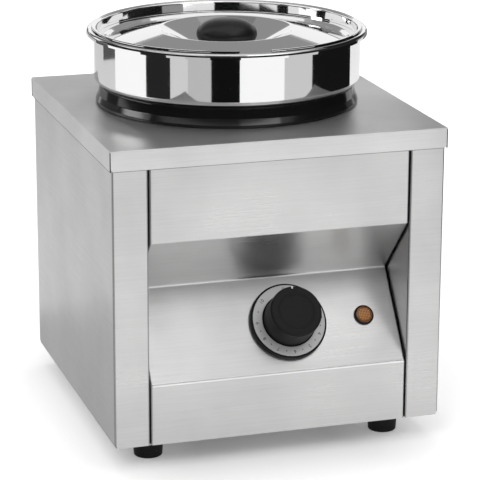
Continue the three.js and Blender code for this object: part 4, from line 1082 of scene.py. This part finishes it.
FLOOR_HALF = 9
PATCH_HALF_X, PATCH_HALF_Y = 0.065, 0.130  # the middle of the floor, under the casing
PATCH_SHARE_Y = 1.09  # how distances from it along Y count
# The glow that the camera sees is weakest near the casing: painted shadow, which deepens the real one there.
FLOOR_NEAR_GLOW, FLOOR_OPEN_GLOW, FLOOR_DISTANT_GLOW = 0.06, 0.42, 0.3  # what the camera sees of it
OPEN_FLOOR, DISTANT_FLOOR = (0.0, 0.12), (0.4, 1.4)  # distances from the patch
# The glow that the steel sees is dimmer to the left and near the casing: painted shade on the casing's left
# side and low faces.
FLOOR_LEFT_GLOW, FLOOR_FRONT_GLOW = 0.04, 0.245  # what the steel sees of it
LEFT_TO_FRONT = (-0.22, -0.12)  # along X
FAR_GROWTH, GROWTH_SHARES = (0.13, 0.9), (0.66, 1.12)  # the front's glow grows with the distance
WORLD_LIGHT, WORLD_SEEN = 0.5, 1.0


def from_patch(tree):
    """The distance from the floor's middle patch, 0 inside it, and the place along X."""
    place = node(tree, "ShaderNodeTexCoord")
    split = node(tree, "ShaderNodeSeparateXYZ", {0: place.outputs["Object"]})
    squares = []
    for axis, half, share in ((X, PATCH_HALF_X, 1), (Y, PATCH_HALF_Y, PATCH_SHARE_Y)):
        past = math_node(tree, "SUBTRACT", math_node(tree, "ABSOLUTE", split.outputs[axis]), half)
        counted = math_node(tree, "MULTIPLY", math_node(tree, "MAXIMUM", past, 0.0), share)
        squares.append(math_node(tree, "POWER", counted, 2.0))
    return math_node(tree, "SQRT", math_node(tree, "ADD", *squares)), split.outputs[X]


def make_floor():
    """A floor that goes over into the white behind. Its glow is weaker near the casing, as painted shadow,
    and weaker for the steel to the left, as painted shade.
    """
    shape = bmesh.new()
    bmesh.ops.create_grid(shape, x_segments=1, y_segments=1, size=FLOOR_HALF)
    mesh = mesh_from("floor", shape)
    material, tree, shader = new_material("floor_white_with_painted_shadow")
    far, along = from_patch(tree)
    path = node(tree, "ShaderNodeLightPath").outputs
    glow_with_painted_shadow = ranged(tree, far, FLOOR_NEAR_GLOW, FLOOR_OPEN_GLOW, *OPEN_FLOOR)
    distant_glow = ranged(tree, far, 0.0, FLOOR_DISTANT_GLOW, *DISTANT_FLOOR)
    glow = math_node(tree, "ADD", glow_with_painted_shadow, distant_glow)
    to_camera = math_node(tree, "MULTIPLY", path["Is Camera Ray"], glow)
    side_glow_with_painted_shade = ranged(tree, along, FLOOR_LEFT_GLOW, FLOOR_FRONT_GLOW, *LEFT_TO_FRONT)
    steel_glow_with_painted_shade = math_node(tree, "MULTIPLY", side_glow_with_painted_shade, ranged(tree, far, *GROWTH_SHARES, *FAR_GROWTH))
    to_steel = math_node(tree, "MULTIPLY", path["Is Glossy Ray"], steel_glow_with_painted_shade)
    fill(tree, shader, {
        "Base Color": (*alike(0.86), 1),
        "Roughness": 1,
        "Specular IOR Level": 0,
        "Emission Color": (*alike(1), 1),
        "Emission Strength": math_node(tree, "ADD", to_camera, to_steel),
    })
    mesh.materials.append(material)
    add_object("floor", mesh)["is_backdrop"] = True


def make_world():
    """A white world, brighter to look at, also in a mirror, than the light it gives."""
    world = bpy.data.worlds.new("studio")
    bpy.context.scene.world = world
    world.use_nodes = True
    tree = world.node_tree
    white = (*alike(1), 1)
    light = tree.nodes["Background"]
    fill(tree, light, {"Color": white, "Strength": WORLD_LIGHT})
    shown = node(tree, "ShaderNodeBackground", {"Color": white, "Strength": WORLD_SEEN})
    path = node(tree, "ShaderNodeLightPath").outputs
    seen = math_node(tree, "MAXIMUM", path["Is Camera Ray"], path["Is Glossy Ray"])
    mix = node(tree, "ShaderNodeMixShader", {0: seen, 1: light.outputs[0], 2: shown.outputs[0]})
    fill(tree, tree.nodes["World Output"], {"Surface": mix.outputs[0]})


def add_lamp(name, place, aim_height, size, power):
    """A square lamp that looks at the object's axis and that no metal mirrors."""
    data = bpy.data.lights.new(name, "AREA")
    data.shape = "SQUARE"
    data.size = size
    data.energy = power
    thing = add_object(name, data)
    thing.location = place
    thing.rotation_mode = "QUATERNION"
    thing.rotation_quaternion = (Vector((0, 0, aim_height)) - Vector(place)).to_track_quat("-Z", "Y")
    thing.visible_glossy = False


make_floor()
make_world()
add_lamp("key", (-1.3, -1.7, 2.0), aim_height=0.15, size=1.4, power=20)
add_lamp("fill", (1.9, -1.2, 1.3), aim_height=0.15, size=1.4, power=8)
add_lamp("top", (0, 0.2, 2.4), aim_height=0.2, size=1.8, power=15)


# Cards: plain grey surfaces seen only in metal, most of them strips of drums round the pot's axis

CAMERA_TURN = atan2(TO_CAMERA.y, TO_CAMERA.x)  # the camera's direction, seen from above
CARD_STEP = 4  # degrees
MIRROR_R = 0.12  # of the pot's side


def reflector(name, rows, grey):
    """A grey surface from pairs of points."""
    shape = bmesh.new()
    pairs = [(shape.verts.new(first), shape.verts.new(second)) for first, second in rows]
    for pair, following in zip(pairs, pairs[1:]):
        shape.faces.new((pair[0], following[0], following[1], pair[1]))
    mesh = mesh_from(name, shape)
    material, tree, shader = new_material(name)
    tree.nodes.remove(shader)
    glow = node(tree, "ShaderNodeEmission", {"Strength": grey})
    fill(tree, tree.nodes["Material Output"], {"Surface": glow.outputs[0]})
    mesh.materials.append(material)
    thing = add_object(name, mesh)
    for rays in ("camera", "diffuse", "shadow", "transmission", "volume_scatter"):
        setattr(thing, "visible_" + rays, False)
    thing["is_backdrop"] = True


def strip(name, turns, low, high, radius, grey):
    """A strip of a drum round the pot's axis, between two heights."""
    spots = [(cos(turn) * radius, PAN_Y * MM + sin(turn) * radius) for turn in turns]
    reflector(name, [((*spot, low), (*spot, high)) for spot in spots], grey)


def directions(start, end):
    """Directions in radians, from one to another in degrees."""
    steps = max(2, int(abs(end - start) / CARD_STEP))
    return [radians(start + (end - start) * step / steps) for step in range(steps + 1)]


def mirrored(name, start, end, low, high, radius, grey):
    """A strip that the pot's side mirrors from start to end, in degrees to the right of the camera."""
    turns = [
        CAMERA_TURN + seen - asin(MIRROR_R / radius * sin(seen / 2)) for seen in directions(start, end)
    ]
    strip(name, turns, low, high, radius, grey)


def standing(name, start, end, low, high, radius, grey):
    """A strip that itself stands from start to end, in degrees to the right of the camera."""
    strip(name, [CAMERA_TURN + turn for turn in directions(start, end)], low, high, radius, grey)


# The drums' radii: a brighter card stands just behind a darker one
DARK, PALE, BRIGHT = 0.75, 0.752, 0.76
NEAR, WALL, WALL_FRAME, FAR = 0.25, 1.6, 1.63, 3

# What the pot's upright side mirrors
BAND_LOW, BAND_HIGH = 0.02, 0.30
mirrored("mirror_far_left", -133, -111.5, 0.160, BAND_HIGH, DARK, 0.10)
for name, start, end, radius, grey in (
    ("bright_left", -111.5, -73, BRIGHT, 1.1),
    ("dark_left", -73, -49, DARK, 0.02),
    ("pale_left", -49, -33, PALE, 0.70),
    ("pale_middle", -33, -12.7, PALE, 0.55),
    ("dark_middle", -12.7, 11.6, DARK, 0.006),
    ("bright_right", 11.6, 51, BRIGHT, 1.1),
    ("pale_right", 51, 79, PALE, 0.66),
    ("dark_right", 79, 134, DARK, 0.008),
):
    mirrored("mirror_" + name, start, end, BAND_LOW, BAND_HIGH, radius, grey)

# The dark room above them, which the pot's shoulder and the black ring see by way of the cover
ROOM_GREY = 0.02
for name, start, end, high, grey in (
    ("left", -73, -14, 0.62, ROOM_GREY),
    ("middle", -14, 14, 0.62, ROOM_GREY),
    ("right", 14, 130, 0.62, ROOM_GREY),
    ("low_left", -112, -73, 0.475, ROOM_GREY),
    ("far_left", -165, -112, 0.45, 0.2),
    ("far_right", 130, 165, 0.45, 0.2),
):
    mirrored("room_" + name, start, end, BAND_HIGH, high, DARK, grey)
standing("room_near", -100, 130, 0.375, 0.48, NEAR, ROOM_GREY)

# Soft boxes, which the foot of the black ring sees
mirrored("soft_box_left", -112, -73, 0.485, 0.56, DARK, 5)
mirrored("soft_box_right", 13, 51, 1.60, 2.25, FAR, 3.4)

# A pale ceiling in front, which the sloped control panel sees
standing("ceiling_front", 5, 65, 3.3, 5.8, FAR, 1.75)

# What the lid's inner wall sees by way of its sloping top
for name, start, end, low, high, grey in (
    ("far_right", 82, 128, 0.385, 0.60, 0.012),
    ("grey_right", 55, 82, 0.48, 0.60, 0.34),
    ("line_right", 38, 55, 0.574, 0.581, 0.02),
    ("line_middle", 16, 38, 0.589, 0.596, 0.02),
    ("dark_middle", -16, 16, 0.50, 0.66, 0.006),
    ("dark_left", -40, -16, 0.566, 0.66, 0.012),
    ("dark_outer", -63, -40, 0.550, 0.66, 0.012),
    ("end_left", -77, -63, 0.50, 0.66, 0.012),
    ("far_left", -128, -115, 0.385, 0.52, 0.012),
):
    standing("lid_" + name, start, end, low, high, NEAR, grey)
mirrored("lid_bright_left", -114, -77, 1.6, 2.3, FAR, 1.4)

# A grey wall high behind, with a paler frame, which the lid's front, its dish and the cover see
WALL_LOW, WALL_MIDDLE, WALL_HIGH = 1.00, 2.6, 4.8
standing("wall_behind", 125, 235, WALL_LOW, WALL_MIDDLE, WALL, 0.30)
standing("wall_above_left", 180, 235, WALL_MIDDLE, WALL_HIGH, WALL, 0.22)
standing("wall_above_right", 125, 180, WALL_MIDDLE, WALL_HIGH, WALL, 0.40)
standing("wall_frame", 118, 242, 0.955, 2.7, WALL_FRAME, 0.40)

# A grey patch on the floor beside the casing, seen only in metal: painted shadow, which darkens the
# reflection in the casing's left side
PATCH_LEFT, PATCH_RIGHT, PATCH_LEVEL = -0.60, -0.156, 0.001
left_rows = [((PATCH_LEFT, y, PATCH_LEVEL), (PATCH_RIGHT, y, PATCH_LEVEL)) for y in (-0.12, 0.08, 0.30)]
reflector("floor_left_painted_shadow", left_rows, 0.50)

# The dark line along the rim's far side
standing("low_behind", 140, 205, 0.20, 0.36, DARK, 0.25)

bpy.context.scene.view_settings.view_transform = "Standard"

low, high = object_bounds()
